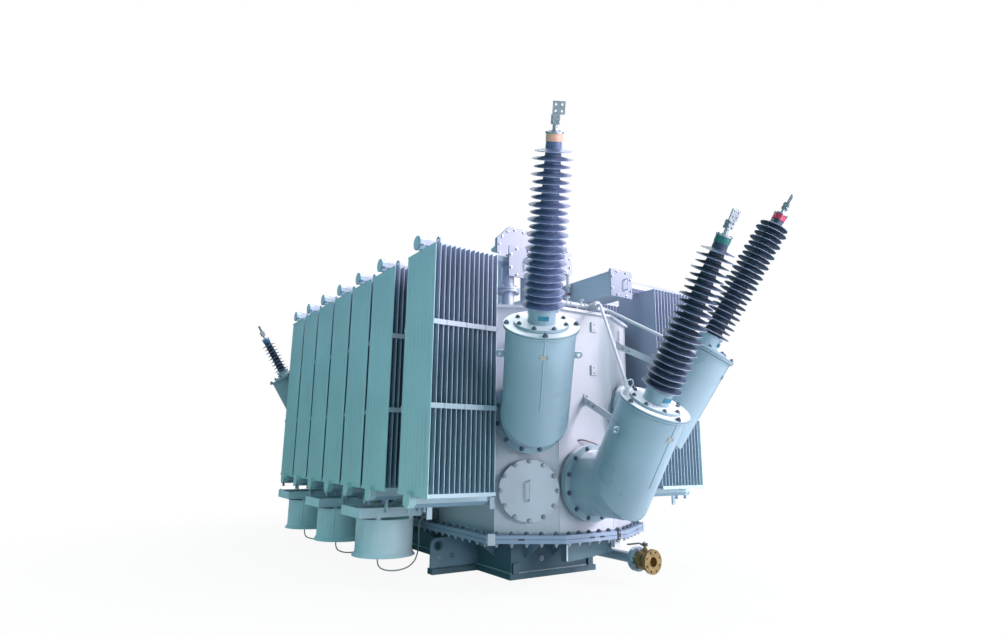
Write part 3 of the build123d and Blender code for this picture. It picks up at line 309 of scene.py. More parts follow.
def plate(outline, thickness, edge=1.5):
    """A flat plate from z = 0 upward with chamfered edges; the outline runs counter-clockwise."""
    bm = bmesh.new()
    face = bm.faces.new([bm.verts.new((x, y, 0.0)) for x, y in outline])
    grown = bmesh.ops.extrude_face_region(bm, geom=[face])["geom"]
    top = [v for v in grown if isinstance(v, bmesh.types.BMVert)]
    bmesh.ops.translate(bm, vec=(0, 0, thickness), verts=top)
    bmesh.ops.recalc_face_normals(bm, faces=bm.faces)
    if edge:
        bmesh.ops.bevel(bm, geom=bm.edges[:], offset=edge, segments=1, affect="EDGES")
    return from_bmesh(bm)


def bar(width, depth, height, edge=1.5):
    """A chamfered block that stands on z = 0, centred on the other two axes."""
    x, y = width / 2, depth / 2
    return plate([(-x, -y), (x, -y), (x, y), (-x, y)], height, edge)


def disc(radius, thickness, segments=32, edge=1.5):
    return lathe([(0, 0), (radius - edge, 0), (radius, edge), (radius, thickness - edge),
                  (radius - edge, thickness), (0, thickness)], segments)


def ring(inner, outer, thickness, segments=32, edge=1.0):
    return lathe([(inner, 0), (outer - edge, 0), (outer, edge), (outer, thickness - edge),
                  (outer - edge, thickness), (inner, thickness), (inner, 0)], segments)


def bolt(size, stud=0.0, head=0.65):
    """A washer and a hexagon head for a thread of this size; a stud end stands out of a nut."""
    washer = disc(size * 1.12, size * 0.18, 14, 0.4)
    low, high = size * 0.18, size * (0.18 + head)
    across = size * 0.98
    hexagon = lathe([(0, low), (across, low), (across, high - size * 0.12), (across * 0.86, high),
                     (0, high)], 6)
    pieces = [washer, hexagon]
    if stud:
        pieces.append(lathe([(0, high), (size * 0.5, high), (size * 0.5, high + stud - 1),
                             (size * 0.38, high + stud), (0, high + stud)], 8))
    return join(*pieces)


def join(*shapes):
    verts, faces = [], []
    for points, sides in shapes:
        start = len(verts)
        verts += points
        faces += [tuple(start + i for i in side) for side in sides]
    return verts, faces


def moved(shape, matrix):
    return [tuple(matrix @ Vector(v)) for v in shape[0]], shape[1]


def tube(points, radius, segments=10, closed=False, radii=None):
    """A round bar along a line of points."""
    points = [Vector(p) for p in points]
    count = len(points)
    verts, faces = [], []
    side = None
    for k, here in enumerate(points):
        before = points[k - 1] if (k or closed) else here
        after = points[(k + 1) % count] if (k < count - 1 or closed) else here
        along = (after - before).normalized()
        if side is None:
            side = along.cross(Vector((0, 0, 1)) if abs(along.z) < 0.9 else Vector((1, 0, 0)))
        side = (side - along * side.dot(along)).normalized()
        other = along.cross(side)
        size = radii[k] if radii else radius
        for s in range(segments):
            turn = 2 * math.pi * s / segments
            verts.append(tuple(here + (side * math.cos(turn) + other * math.sin(turn)) * size))
    loops = count if closed else count - 1
    for k in range(loops):
        a, b = k * segments, (k + 1) % count * segments
        for s in range(segments):
            t = (s + 1) % segments
            faces.append((a + s, a + t, b + t, b + s))
    if not closed:
        faces.append(tuple(reversed(range(segments))))
        faces.append(tuple(range((count - 1) * segments, count * segments)))
    return verts, faces


def curve(points, steps=8):
    """A smooth line through the points."""
    points = [Vector(p) for p in points]
    ends = [2 * points[0] - points[1]] + points + [2 * points[-1] - points[-2]]
    line = []
    for a, b, c, d in zip(ends, ends[1:], ends[2:], ends[3:]):
        for k in range(steps):
            t = k / steps
            line.append(0.5 * (2 * b + (c - a) * t + (2 * a - 5 * b + 4 * c - d) * t * t
                               + (3 * b - a - 3 * c + d) * t ** 3))
    return line + [points[-1]]


def bead(points, radius, pitch=9.0, wobble=0.18, segments=8):
    """A weld seam along a line, with the ripple of its passes."""
    line, radii = [], []
    chance = random.Random(len(points) * 7 + int(radius * 10))
    for a, b in zip(points, points[1:]):
        a, b = Vector(a), Vector(b)
        steps = max(2, int((b - a).length / pitch))
        for k in range(steps):
            line.append(a.lerp(b, k / steps))
            ripple = wobble if len(line) % 2 else -wobble
            radii.append(radius * (1 + ripple + chance.uniform(-0.06, 0.06)))
    line.append(Vector(points[-1]))
    radii.append(radius)
    return tube(line, radius, segments, radii=radii)


def circle(radius, height=0.0, steps=48, start=0.0, sweep=360.0):
    """Points round z; a whole turn comes back to its first point."""
    angles = [math.radians(start + sweep * k / steps) for k in range(steps + 1)]
    return [Vector((radius * math.cos(angle), radius * math.sin(angle), height)) for angle in angles]


def hoop(radius, height, steps, thick, segments):
    """A closed round bar round z."""
    return tube(circle(radius, height, steps)[:-1], thick, segments, closed=True)


def round_bead(place, radius, height, thick, steps=32):
    """A weld seam round the z of a place."""
    return bead([place @ point for point in circle(radius, height, steps)], thick)


def shift(x, y, z):
    return Matrix.Translation((x, y, z))


def turn(degrees, axis):
    return Matrix.Rotation(math.radians(degrees), 4, axis)


SIDES = (Matrix.Identity(4), Matrix.Diagonal((-1, 1, 1, 1)))


class Piece:
    """One piece of the picture, gathered from shapes and made into a mesh at the end."""

    gathered = []

    def __init__(self, name, paint_name, slot=None, body=BODY, sharp=32.0, replaces=()):
        self.name, self.paint, self.slot = name, paint_name, slot or paint_name
        self.body, self.sharp, self.replaces = body, sharp, replaces
        self.verts, self.faces = [], []
        self.gathered.append(self)

    def add(self, shape, *matrices):
        matrix = Matrix.Identity(4)
        for step in matrices:
            matrix = matrix @ step
        start = len(self.verts)
        self.verts += [(matrix @ Vector(v)) * MM for v in shape[0]]
        flip = matrix.determinant() < 0
        for side in shape[1]:
            side = tuple(start + i for i in side)
            self.faces.append(tuple(reversed(side)) if flip else side)

    def both_sides(self, shape, *matrices):
        """The shape and its mirror image on the other side of the tank."""
        for side in SIDES:
            self.add(shape, side, *matrices)

    def make(self):
        mesh = bpy.data.meshes.new(self.name)
        mesh.from_pydata(self.verts, [], self.faces)
        mesh.polygons.foreach_set("use_smooth", [True] * len(mesh.polygons))
        mesh.set_sharp_from_angle(angle=math.radians(self.sharp))
        mesh.materials.append(PAINTS[self.paint])
        thing = bpy.data.objects.new(self.name, mesh)
        bpy.context.scene.collection.objects.link(thing)
        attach(thing, self.body)
        if self.replaces:
            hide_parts(*self.replaces)


# Sizes and frames that the CAD model also has
TILT = 32.0
BEARING = math.degrees(math.atan2(272, 472))
BASE_TOP = 48
LOWER_END = -2174
FLANGE_BOTTOM = 363
FLANGE_TOP = 427
NOSE_Y = -2650
TANK_TOP = 2340
COVER_TOP = 2369
COLLAR_THICK = 22
HV = SimpleNamespace(
    run=418, drum=729, radius=269, flange=322, plate=288, plate_thick=28, collar=210, neck=105, neck_rise=112,
    sheds=22, core=1160, shed_radius=(160, 142), shed_step=14, core_radius=(80, 54), tail=34, cap=50, lid=46,
    scale=1, wall_bolts=12, collar_bolts=8)
REAR = SimpleNamespace(
    run=330, drum=690, radius=190, flange=235, plate=220, plate_thick=24, collar=144, neck=72, neck_rise=60,
    sheds=9, core=420, shed_radius=(98, 92), shed_step=12, core_radius=(48, 40), tail=20, cap=44, lid=38,
    scale=0.75, wall_bolts=8, collar_bolts=6)
FRAMES = {
    "a": shift(-545, -2514, 1398) @ turn(-BEARING, "Z") @ shift(20, 0, 0),
    "b": shift(0, NOSE_Y, 834),
    "c": shift(545, -2514, 1398) @ turn(BEARING, "Z") @ shift(-20, 0, 0),
}
REAR_FRAMES = [
    shift(-781, 1950, 1465) @ turn(-90, "Z"),
    shift(781, 1950, 1465) @ turn(90, "Z"),
    shift(0, 2650, 1465) @ turn(180, "Z"),
]
TURRETS = [(wall, HV) for wall in FRAMES.values()] + [(wall, REAR) for wall in REAR_FRAMES]
MANHOLES = [shift(sign * 545, -2514, 774) @ turn(sign * BEARING, "Z") @ shift(-sign * 12, 0, 0)
            for sign in (-1, 1)]
OUT = turn(90, "X")
RADIATOR_YS = [-2390] + [-1596 + 568 * k for k in range(6)]
PANEL_FACE = 1552
HEADER_LOW = 718
HEADER_HIGH = 2785
FAN_YS = [-1312 + 1136 * k for k in range(3)]
FAN_X = 1297
GAS_Y = -2620
GAS_Z = 2425
GAS_FEET = {"a": (60, 255), "b": (-216, 125)}
GAS_SIDE_RISE = -60
BOX = SimpleNamespace(half=485, bottom=2965, top=3345, cut=145, front=-1910, back=-1866)
DUCT = SimpleNamespace(middle=613, half=125, bottom=2633, top=2872, front=-2528)
DRAIN_X = 371
DRAIN_Z = 204
STEM_Y = -2954


def drum_frame(kind, beyond=0):
    """Across an inclined drum's axis, at the drum's top or so far beyond it."""
    return shift(0, -kind.run, 0) @ turn(TILT, "X") @ shift(0, 0, kind.drum + beyond)


def sheds_foot(kind):
    """How far the sheds start beyond the drum's top."""
    return kind.plate_thick + COLLAR_THICK + kind.neck_rise


def plan(grow):
    """Corners of the bell tank's plan, grown outward, counter-clockwise."""
    nose, front = 309 + 0.2676 * grow, 2650 + grow
    side, shoulder = 781 + grow, 2378 + 0.5779 * grow
    right = [(nose, -front), (side, -shoulder), (side, shoulder), (nose, front)]
    return right + [(-x, -y) for x, y in right]


def sides_of(corners):
    """Each corner with the next one, all round."""
    return zip(corners, corners[1:] + corners[:1])


def along_plan(grow, pitch):
    """Evenly spaced places along each side of the plan, with the direction of the side."""
    for a, b in sides_of([Vector(corner) for corner in plan(grow)]):
        count = max(1, round((b - a).length / pitch))
        for k in range(count):
            yield a.lerp(b, (k + 0.5) / count), math.degrees(math.atan2(b.y - a.y, b.x - a.x))


# Cables first: each follows its CAD route from the fan's motor to the box on the wall
CABLE_ROUTE = [(-1360, -18, 138), (-1360, -18, 82), (-1332.2, -44, 40.2), (-1254.9, -66, 20.1),
               (-1160.2, -82, 22), (-1079.8, -88, 42.2), (-1018, -88, 90.1), (-986.1, -80, 165.3),
               (-975.8, -68, 254.8), (-973.8, -56, 340.1), (-969.1, -47, 408.1), (-945.9, -41, 453.1),
               (-901, -38, 479), (-845, -38, 479)]
CABLE_DIAMETER = 12


def make_cable(number, y):
    data = bpy.data.curves.new("cable_%d" % number, "CURVE")
    data.dimensions = "3D"
    data.bevel_depth = CABLE_DIAMETER / 2 * MM
    data.bevel_resolution = 4
    data.resolution_u = 8
    data.use_fill_caps = True
    spline = data.splines.new("NURBS")
    spline.points.add(len(CABLE_ROUTE) - 1)
    for point, (x, dy, z) in zip(spline.points, CABLE_ROUTE):
        point.co = (x * MM, (y + dy) * MM, z * MM, 1.0)
    spline.order_u = 3
    spline.use_endpoint_u = True
    data.materials.append(PAINTS["cable_sleeve"])
    thing = bpy.data.objects.new(data.name, data)
    bpy.context.scene.collection.objects.link(thing)
    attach(thing, BODY)
    x, dy, z = CABLE_ROUTE[0]
    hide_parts("fan_cable_%d" % number)


for number, y in enumerate(FAN_YS):
    make_cable(number + 1, y)


# Insulators
# One shed's line, as shares of its reach beyond the core and of the pitch
SHED_LINE = [(0.0, 0.20), (0.03, 0.27), (0.12, 0.315), (0.55, 0.345), (0.93, 0.365), (0.975, 0.37),
             (1.0, 0.40), (0.99, 0.435), (0.94, 0.465), (0.55, 0.56), (0.12, 0.70), (0.03, 0.76)]
LIP_RISE = 0.40


def shed_rims(kind):
    """Radius and height of each shed's lip."""
    pitch = kind.core / kind.sheds
    bottom, top = kind.shed_radius
    for k in range(kind.sheds):
        step = kind.shed_step if k % 2 else 0
        yield bottom + (top - bottom) * k / (kind.sheds - 1) - step, pitch * (k + LIP_RISE)


def shed_profile(kind):
    """Thin drooping sheds with rounded lips on a tapered core."""
    pitch = kind.core / kind.sheds
    bottom, top = kind.shed_radius
    core_bottom, core_top = kind.core_radius
    profile = [(0, 0), (core_bottom, 0)]
    for k in range(kind.sheds):
        part_way = k / (kind.sheds - 1)
        core = core_bottom + (core_top - core_bottom) * part_way
        rim = bottom + (top - bottom) * part_way - (kind.shed_step if k % 2 else 0)
        for out, rise in SHED_LINE:
            profile.append((core + (rim - core) * out, pitch * k + pitch * rise))
    return profile + [(core_top, kind.core + kind.tail), (0, kind.core + kind.tail)]


def make_insulator(name, walls, kind, replaces, segments, colour="shed_rubber"):
    piece = Piece(name, colour, "shed_rubber", sharp=55.0, replaces=replaces)
    for wall in walls:
        piece.add(lathe(shed_profile(kind), segments), wall @ drum_frame(kind, sheds_foot(kind)))


# Bushing A's sheds take the lighter copy of the shed rubber: painted light.
for letter, wall in FRAMES.items():
    make_insulator("sheds_" + letter, [wall], HV, ["hv_bushing_" + letter], 72,
                   "shed_painted_light" if letter == "a" else "shed_rubber")
make_insulator("rear_sheds", REAR_FRAMES, REAR, ["rear_bushings"], 56)
# A rounded lip on every shed rim, in the pale lip rubber: a painted highlight.
lips = Piece("shed_lips", "shed_lip_highlight", "shed_rubber", sharp=60.0)
for kind, walls, inset, thick, steps in ((HV, list(FRAMES.values()), 1.5, 2.2, 72),
                                         (REAR, REAR_FRAMES, 1.0, 1.8, 56)):
    for radius, height in shed_rims(kind):
        for wall in walls:
            lips.add(hoop(radius - inset, height, steps, thick, 4), wall, drum_frame(kind, sheds_foot(kind)))

# Flange joint
flange_bolts = Piece("flange_bolts", "bolt_dark", "flange_paint")
flange_nuts = Piece("flange_nuts", "bolt_zinc", "flange_paint")
for place, angle in along_plan(80, 120):
    spin = turn(angle + 13, "Z")
    flange_bolts.add(bolt(21, stud=8), shift(place.x, place.y, FLANGE_TOP), spin)
    flange_nuts.add(bolt(20, stud=16), shift(place.x, place.y, FLANGE_BOTTOM), turn(180, "X"), spin)
joint = Piece("flange_joint", "gasket", "flange_paint")
for a, b in sides_of([Vector(corner) for corner in plan(122)]):
    middle = a.lerp(b, 0.5)
    joint.add(bar((b - a).length, 1.6, 3.4, 0), shift(middle.x, middle.y, 393.3),
              turn(math.degrees(math.atan2(b.y - a.y, b.x - a.x)), "Z"))
for sign in (-1, 1):
    joint.add(bar(52, 2.4, 15, 0.6), shift(sign * 656, -2590, 387), turn(sign * BEARING, "Z"))
    joint.add(bar(52, 2.4, 15, 0.6), shift(sign * 56, -2772, 387))
clips = Piece("flange_clips", "tank_paint", "flange_paint")
for sign in (-1, 1):
    clips.add(bar(62, 7, 92, 1.5), shift(sign * 868, -2471.5, 349), turn(sign * BEARING, "Z"))
    clips.add(bar(62, 60, 6, 1.5), shift(sign * 855, -2449, FLANGE_TOP), turn(sign * BEARING, "Z"))

seams = Piece("tank_seams", "tank_paint")
for height, thick in ((FLANGE_TOP + 2, 7), (TANK_TOP + 1, 5)):
    corners = [(x, y, height) for x, y in plan(2)]
    seams.add(bead(corners + corners[:1], thick))
for x, y in plan(0):
    seams.add(bead([(x, y, FLANGE_TOP + 3), (x, y, TANK_TOP)], 3.5))
for a, b in sides_of([(-470, LOWER_END), (470, LOWER_END), (470, -LOWER_END), (-470, -LOWER_END)]):
    for height in (BASE_TOP + 2, FLANGE_BOTTOM - 2):
        seams.add(bead([(*a, height), (*b, height)], 6))


# Turrets
def bolt_ring(piece, shape, count, radius, start, *place):
    for k in range(count):
        angle = start + 360 * k / count
        piece.add(shape, *place, turn(angle, "Z"), shift(radius, 0, 0), turn(angle * 3 + 11, "Z"))


turret_bolts = Piece("turret_bolts", "bolt_dark", "turret_paint")
gaskets = Piece("gaskets", "gasket", "shed_rubber")
turret_seams = Piece("turret_seams", "turret_paint")
name_plates = Piece("bare_plates", "plate_metal", "terminal_metal")
neck_plates = Piece("neck_plates", "plate_teal", "terminal_metal")
lifting_eyes = Piece("lifting_eyes", "turret_paint")
turret_plugs = Piece("turret_plugs", "pale_paint", "turret_paint")


def eye(inner, outer, thick):
    """A lifting plate with a round eye, its foot on z = 0 and its face towards y."""
    height = outer + 12
    count = 24
    angles = [2 * math.pi * k / count for k in range(count)]
    hole = [(inner * math.cos(angle), height + inner * math.sin(angle)) for angle in angles]
    rim = []
    for x, y in hole:
        way = Vector((x, y - height)).normalized()
        reach = outer
        if way.y < 0:
            reach = min(outer / max(abs(way.x), 1e-6), height / -way.y)
        rim.append((way.x * reach, height + way.y * reach))
    verts = [(x, side * thick / 2, y) for side in (-1, 1) for loop in (hole, rim) for x, y in loop]
    faces = []
    for k in range(count):
        n = (k + 1) % count
        faces.append((k, count + k, count + n, n))
        faces.append((2 * count + n, 3 * count + n, 3 * count + k, 2 * count + k))
        faces.append((k, n, 2 * count + n, 2 * count + k))
        faces.append((count + n, count + k, 3 * count + k, 3 * count + n))
    return verts, faces


def dress_turret(wall, kind):
    top = wall @ drum_frame(kind)
    face = wall @ OUT
    scale, radius = kind.scale, kind.radius
    middle = (radius + kind.flange) / 2
    bolt_ring(turret_bolts, bolt(18 * scale, stud=7), kind.wall_bolts, middle, 15, face, shift(0, 0, 100))
    bolt_ring(turret_bolts, bolt(18 * scale), kind.wall_bolts, middle, 15, face, shift(0, 0, 40),
              turn(180, "X"))
    gaskets.add(ring(radius, kind.flange - 1, 5, 64), face, shift(0, 0, 67.5))
    plate_top = kind.plate_thick
    bolt_ring(turret_bolts, bolt(17 * scale, stud=6), kind.collar_bolts, kind.collar - 20 * scale, 22.5,
              top, shift(0, 0, plate_top + COLLAR_THICK))
    gaskets.add(ring(kind.collar - 8, kind.collar + 1.2, 4, 56), top, shift(0, 0, plate_top - 2))
    gaskets.add(ring(kind.plate - 6, kind.plate + 1, 4, 64), top, shift(0, 0, plate_top * 0.45))
    bolt_ring(turret_bolts, bolt(20 * scale, stud=9), 4, kind.plate - 23 * scale, 0,
              top, shift(0, 0, plate_top))
    turret_seams.add(round_bead(top, radius + 2, -3, 6 * scale, 48))
    turret_seams.add(round_bead(top, kind.neck + 1, plate_top + 24, 4 * scale))
    turret_seams.add(round_bead(face, radius + 1, 2, 7 * scale, 48))
    turret_seams.add(round_bead(face, radius + 1, 102, 5 * scale, 48))
    half = math.tan(math.radians((90 - TILT) / 2))
    mitre = [wall @ shift(0, -kind.run, 0) @ Vector((p.x, -p.y * half, p.y))
             for p in circle(radius + 1, 0, 72)]
    turret_seams.add(bead(mitre, 4.5 * scale))
    front = [top @ Vector((0, -radius, along)) for along in (-4, -kind.drum + radius * half + 6)]
    turret_seams.add(bead(front, 5 * scale))
    turret_seams.add(ring(kind.neck, kind.neck + 7, 16, 40), top, shift(0, 0, sheds_foot(kind) - 16))
    for side in (-1, 1):
        lifting_eyes.add(eye(13 * scale + 2, 26 * scale + 2, 14), top,
                         shift(side * (radius - 3), 0, -220 * scale), turn(side * 90, "Y"))


for wall, kind in TURRETS:
    dress_turret(wall, kind)
plug = join(disc(17, 10, 24), ring(15, 24, 6, 24), lathe([(0, 10), (9, 10), (9, 22), (0, 22)], 6))
for wall in FRAMES.values():
    top = wall @ drum_frame(HV)
    turret_plugs.add(plug, top, turn(-158, "Z"), shift(162, 0, HV.plate_thick))
    name_plates.add(bar(60, 3, 35, 0.8), top, shift(0, -HV.radius - 3, -153.5))
    neck_plates.add(bar(80, 2.5, 34, 0.8), top, shift(0, -HV.neck - 2, HV.plate_thick + COLLAR_THICK + 38))
    for side in (-24, 24):
        turret_bolts.add(bolt(4, head=0.4), top, shift(side, -HV.radius - 4, -136), turn(90, "X"))

# Stays, gas collector and straps
fittings = Piece("wall_fittings", "tank_paint")
small_bolts = Piece("small_bolts", "bolt_zinc", "tank_paint")
gas_boss = join(disc(20, 10, 28), lathe([(0, 10), (15, 10), (15, 26), (0, 26)], 6))
gas_union = lathe([(0, 0), (22, 0), (22, 10), (15, 13), (15, 30), (22, 33), (22, 43), (0, 43)], 20)
STAY_RISE = 715
STAY_RUN = Vector((0, -421.7, -209.1))
for letter, wall in FRAMES.items():
    for up in (-32, 32):
        small_bolts.add(bolt(12, stud=5), wall, shift(8, -10, STAY_RISE + up), OUT)
    for way in (0.16, 0.30):
        small_bolts.add(bolt(13, stud=6), wall, shift(*(Vector((-25, 0, STAY_RISE)) + STAY_RUN * way)),
                        turn(-90, "Y"))
    top = wall @ drum_frame(HV)
    if letter in GAS_FEET:
        fittings.add(gas_boss, top, shift(*GAS_FEET[letter], HV.plate_thick))
        fittings.add(gas_union, top, shift(*GAS_FEET[letter], HV.plate_thick + 26))
    else:
        fittings.add(gas_boss, top, shift(1 - HV.radius, 0, GAS_SIDE_RISE), turn(-90, "Y"))
for x in (-270, -60, 60, 240):
    fittings.add(disc(26, 8, 24), shift(x, GAS_Y, COVER_TOP))
    small_bolts.add(bolt(8), shift(x, GAS_Y, GAS_Z + 21), turn(30, "Z"))
line_valve = lathe([(0, 0), (27, 0), (27, 6), (19, 8), (19, 46), (27, 48), (27, 54), (0, 54)], 28)
hand_wheel = join(ring(16, 24, 7, 28), moved(bar(40, 6, 5, 1), shift(0, 0, 1)),
                  moved(bar(6, 40, 5, 1), shift(0, 0, 1)))
for x in (-170, 0, 180):
    fittings.add(line_valve, shift(x - 27, GAS_Y, GAS_Z), turn(90, "Y"))
    fittings.add(lathe([(8, 0), (8, 38), (0, 38)], 12), shift(x, GAS_Y, GAS_Z + 15))
    fittings.add(hand_wheel, shift(x, GAS_Y, GAS_Z + 49))


def rounded(corners, radius, steps=6):
    """A line of points with its corners rounded, as the CAD pipes have them."""
    corners = [Vector(c) for c in corners]
    line = [corners[0]]
    for a, b, c in zip(corners, corners[1:], corners[2:]):
        back, onward = (a - b).normalized(), (c - b).normalized()
        reach = radius / math.tan(back.angle(onward) / 2)
        start, end = b + back * reach, b + onward * reach
        for k in range(steps + 1):
            t = k / steps
            line.append(start.lerp(b, t).lerp(b.lerp(end, t), t))
    return line + [corners[-1]]


def foot_points(letter, rise=60):
    top = FRAMES[letter] @ drum_frame(HV)
    return [top @ Vector((*GAS_FEET[letter], HV.plate_thick + up)) for up in (rise, 0)]


drum_c = FRAMES["c"] @ drum_frame(HV)
pipe_lines = [
    [(-330, GAS_Y, GAS_Z), (-410, GAS_Y, GAS_Z)] + foot_points("a"),
    [(115, GAS_Y - 90, GAS_Z), (115, GAS_Y - 130, GAS_Z)] + foot_points("b"),
    [(280, GAS_Y, GAS_Z), (320, GAS_Y, GAS_Z), drum_c @ Vector((-HV.radius - 60, 0, GAS_SIDE_RISE)),
     drum_c @ Vector((-HV.radius, 0, GAS_SIDE_RISE))],
]
for line in pipe_lines:
    fittings.add(tube(rounded(line, 40), 15, 14))
fittings.add(hoop(40, 0, 28, 6, 8), FRAMES["b"], drum_frame(HV), shift(*GAS_FEET["b"], 118), turn(90, "X"))
drain_pot = lathe([(0, 0), (34, 0), (34, 10), (24, 12), (24, 124), (30, 126), (30, 144), (12, 150),
                   (12, 205), (0, 205)], 24)
fittings.add(drain_pot, shift(455, -1886, BOX.bottom + 1), turn(180, "X"))
valve_handle = Piece("red_handle", "handle_red", "cap_red")
valve_handle.add(join(bar(64, 16, 10, 2), disc(15, 16, 20)), shift(455, -1886, BOX.bottom - 217),
                 turn(8, "Z"))
for y in (GAS_Y - 90, GAS_Y - 70):
    fittings.add(disc(42, 12, 32), shift(115, y, GAS_Z), OUT, shift(0, 0, -2))
bolt_ring(small_bolts, bolt(6), 6, 33, 30, shift(115, GAS_Y - 100, GAS_Z), OUT)

# Pads on the nose, thermometer on the right slanting wall, strap over the middle flange
for x, z in ((108, 2225), (98, 1823)):
    fittings.add(bar(66, 92, 18, 3), shift(x, NOSE_Y, z), OUT)
    for up in (-24, 24):
        small_bolts.add(bolt(8), shift(x, NOSE_Y - 18, z + up), OUT)
fittings.add(tube([(41, -15, 869), (31, -15, 766)], 8, 12), FRAMES["c"])
for x, z in ((40, 850), (33, 785)):
    fittings.add(bar(34, 22, 12, 1.5), FRAMES["c"], shift(x, 0, z), OUT)
strap = Piece("bonding_strap", "gland_black", "cable_rubber")
strap_line = [(-95, -2652, 1192), (-60, -2676, 1196), (10, -2692, 1180), (80, -2700, 1158),
              (125, -2704, 1136)]
strap.add(tube(curve(strap_line, 5), 6, 8))
drain_plug = join(disc(24, 12, 24), lathe([(0, 12), (14, 12), (14, 26), (0, 26)], 6))
fittings.add(drain_plug, shift(-143, LOWER_END, 153), OUT)


# Manholes
def u_handle(rise, width, rod, segments, steps, *place):
    """A bent round bar that runs along y and stands on z = 0."""
    up, level, middle = rise
    line = [(0, 0, 0), (0, 0, up), (0, width[0], level), (0, width[1] / 2, middle),
            (0, width[1] - width[0], level), (0, width[1], up), (0, width[1], 0)]
    fittings.add(tube(curve(line, steps), rod, segments), *place)


MANHOLE_BOLTS = 239
manhole_gaskets = Piece("manhole_gaskets", "gasket", "shed_rubber")
for wall in MANHOLES:
    face = wall @ OUT
    bolt_ring(small_bolts, bolt(18, stud=8), 12, MANHOLE_BOLTS, 0, face, shift(0, 0, 60))
    bolt_ring(small_bolts, bolt(18), 12, MANHOLE_BOLTS, 0, face, shift(0, 0, 36), turn(180, "X"))
    manhole_gaskets.add(ring(228, 255, 4, 64), face, shift(0, 0, 34))
    fittings.add(ring(225, 233, 6, 56), face)
    u_handle((38, 52, 54), (12, 156), 8, 12, 6, face, shift(0, -78, 60))


# Boxes and duct on the cover
def rim_bolts(corners, pitch, size, *place):
    for a, b in sides_of([Vector(corner) for corner in corners]):
        count = max(1, round((b - a).length / pitch))
        for k in range(count):
            p = a.lerp(b, (k + 0.5) / count)
            small_bolts.add(bolt(size, stud=size * 0.3), *place, shift(p.x, p.y, 0), turn(k * 37, "Z"))


def cover_handle(*place):
    u_handle((30, 40, 42), (10, 110), 6, 10, 5, *place, shift(0, -55, 0))


inset = 28
slant = BOX.cut + inset * 0.4
box_line = [(-BOX.half + inset, BOX.bottom + inset), (BOX.half - inset, BOX.bottom + inset),
            (BOX.half - inset, BOX.top - slant), (BOX.half - slant, BOX.top - inset),
            (-BOX.half + slant, BOX.top - inset), (-BOX.half + inset, BOX.top - slant)]
rim_bolts(box_line, 105, 13, shift(0, BOX.front, 0), OUT)
rim_bolts(box_line, 105, 13, shift(0, BOX.back, 0), turn(180, "Z"), OUT)
cover_handle(shift(360, BOX.front, 3130), OUT)


def duct_line(middle):
    left, right = middle - DUCT.half, middle + DUCT.half
    return [(left, DUCT.bottom), (right, DUCT.bottom), (right, DUCT.top), (left, DUCT.top)]


for sign in (-1, 1):
    rim_bolts(duct_line(sign * DUCT.middle), 118, 12, shift(0, DUCT.front, 0), OUT)
    cover_handle(shift(sign * DUCT.middle + 50, DUCT.front, 2752), OUT)
rim_bolts(duct_line(-DUCT.middle), 118, 12, shift(0, 1514, 0), turn(180, "Z"), OUT)
box_seams = Piece("box_seams", "box_paint")
for x, z in duct_line(DUCT.middle):
    box_seams.add(bead([(x, -2498, z), (x, 1484, z)], 4, pitch=14))
for x in (-300, 300):
    box_seams.add(round_bead(shift(x, -1786, COVER_TOP + 2), 81, 0, 5))
    box_seams.add(round_bead(shift(x, -1786, BOX.bottom - 2), 81, 0, 5))
box_seams.add(round_bead(shift(-490, -2440, COVER_TOP + 2), 71, 0, 5))
# Each neck's place, the radius of its bolts and the outer radius of its joint
necks = [(-300, -1786, 103, 126), (300, -1786, 103, 126)]
necks += [(DUCT.middle, (RADIATOR_YS[k] + RADIATOR_YS[k + 1]) / 2, 103, 126) for k in (1, 3, 5)]
necks += [(-675, y, 84, 106) for y in RADIATOR_YS]
neck_gaskets = Piece("neck_gaskets", "gasket", "shed_rubber")
for x, y, bolts, outer in necks:
    bolt_ring(small_bolts, bolt(15, stud=7), 8, bolts, 22.5, shift(x, y, 2529))
    bolt_ring(small_bolts, bolt(15), 8, bolts, 22.5, shift(x, y, 2489), turn(180, "X"))
    neck_gaskets.add(ring(outer - 12, outer, 4, 40), shift(x, y, 2507))
for x in (-700, 700):
    for y in (-1700, 0, 1700):
        fittings.add(eye(34, 62, 26), shift(x, y, COVER_TOP), turn(90, "Z"))

# Radiators
flutes = Piece("radiator_flutes", "outer_lit_paint", "radiator_paint")
radiator_fittings = Piece("radiator_fittings", "pale_paint", "radiator_paint")
radiator_lugs = Piece("radiator_lugs", "flange_paint", "radiator_paint")
radiator_seams = Piece("radiator_seams", "radiator_paint")
weld_spot = lathe([(7.5, 0), (6, 1.2), (0, 1.6)], 10)
drain_nut = lathe([(0, 0), (13, 0), (13, 26), (17, 27), (17, 38), (0, 38)], 6)
vent_plug = lathe([(0, 0), (11, 0), (11, 20), (0, 20)], 12)
FLUTE_PITCH = 66


def flute(half, bottom, top, rise, slope, end):
    """A pressed rib with sloping sides, standing on x = 0."""
    low = [(0, -half, bottom), (0, half, bottom), (0, half, top), (0, -half, top)]
    inner = half - slope
    high = [(rise, -inner, bottom + end), (rise, inner, bottom + end), (rise, inner, top - end),
            (rise, -inner, top - end)]
    return low + high, [(4, 5, 6, 7), (0, 1, 5, 4), (1, 2, 6, 5), (2, 3, 7, 6), (3, 0, 4, 7)]


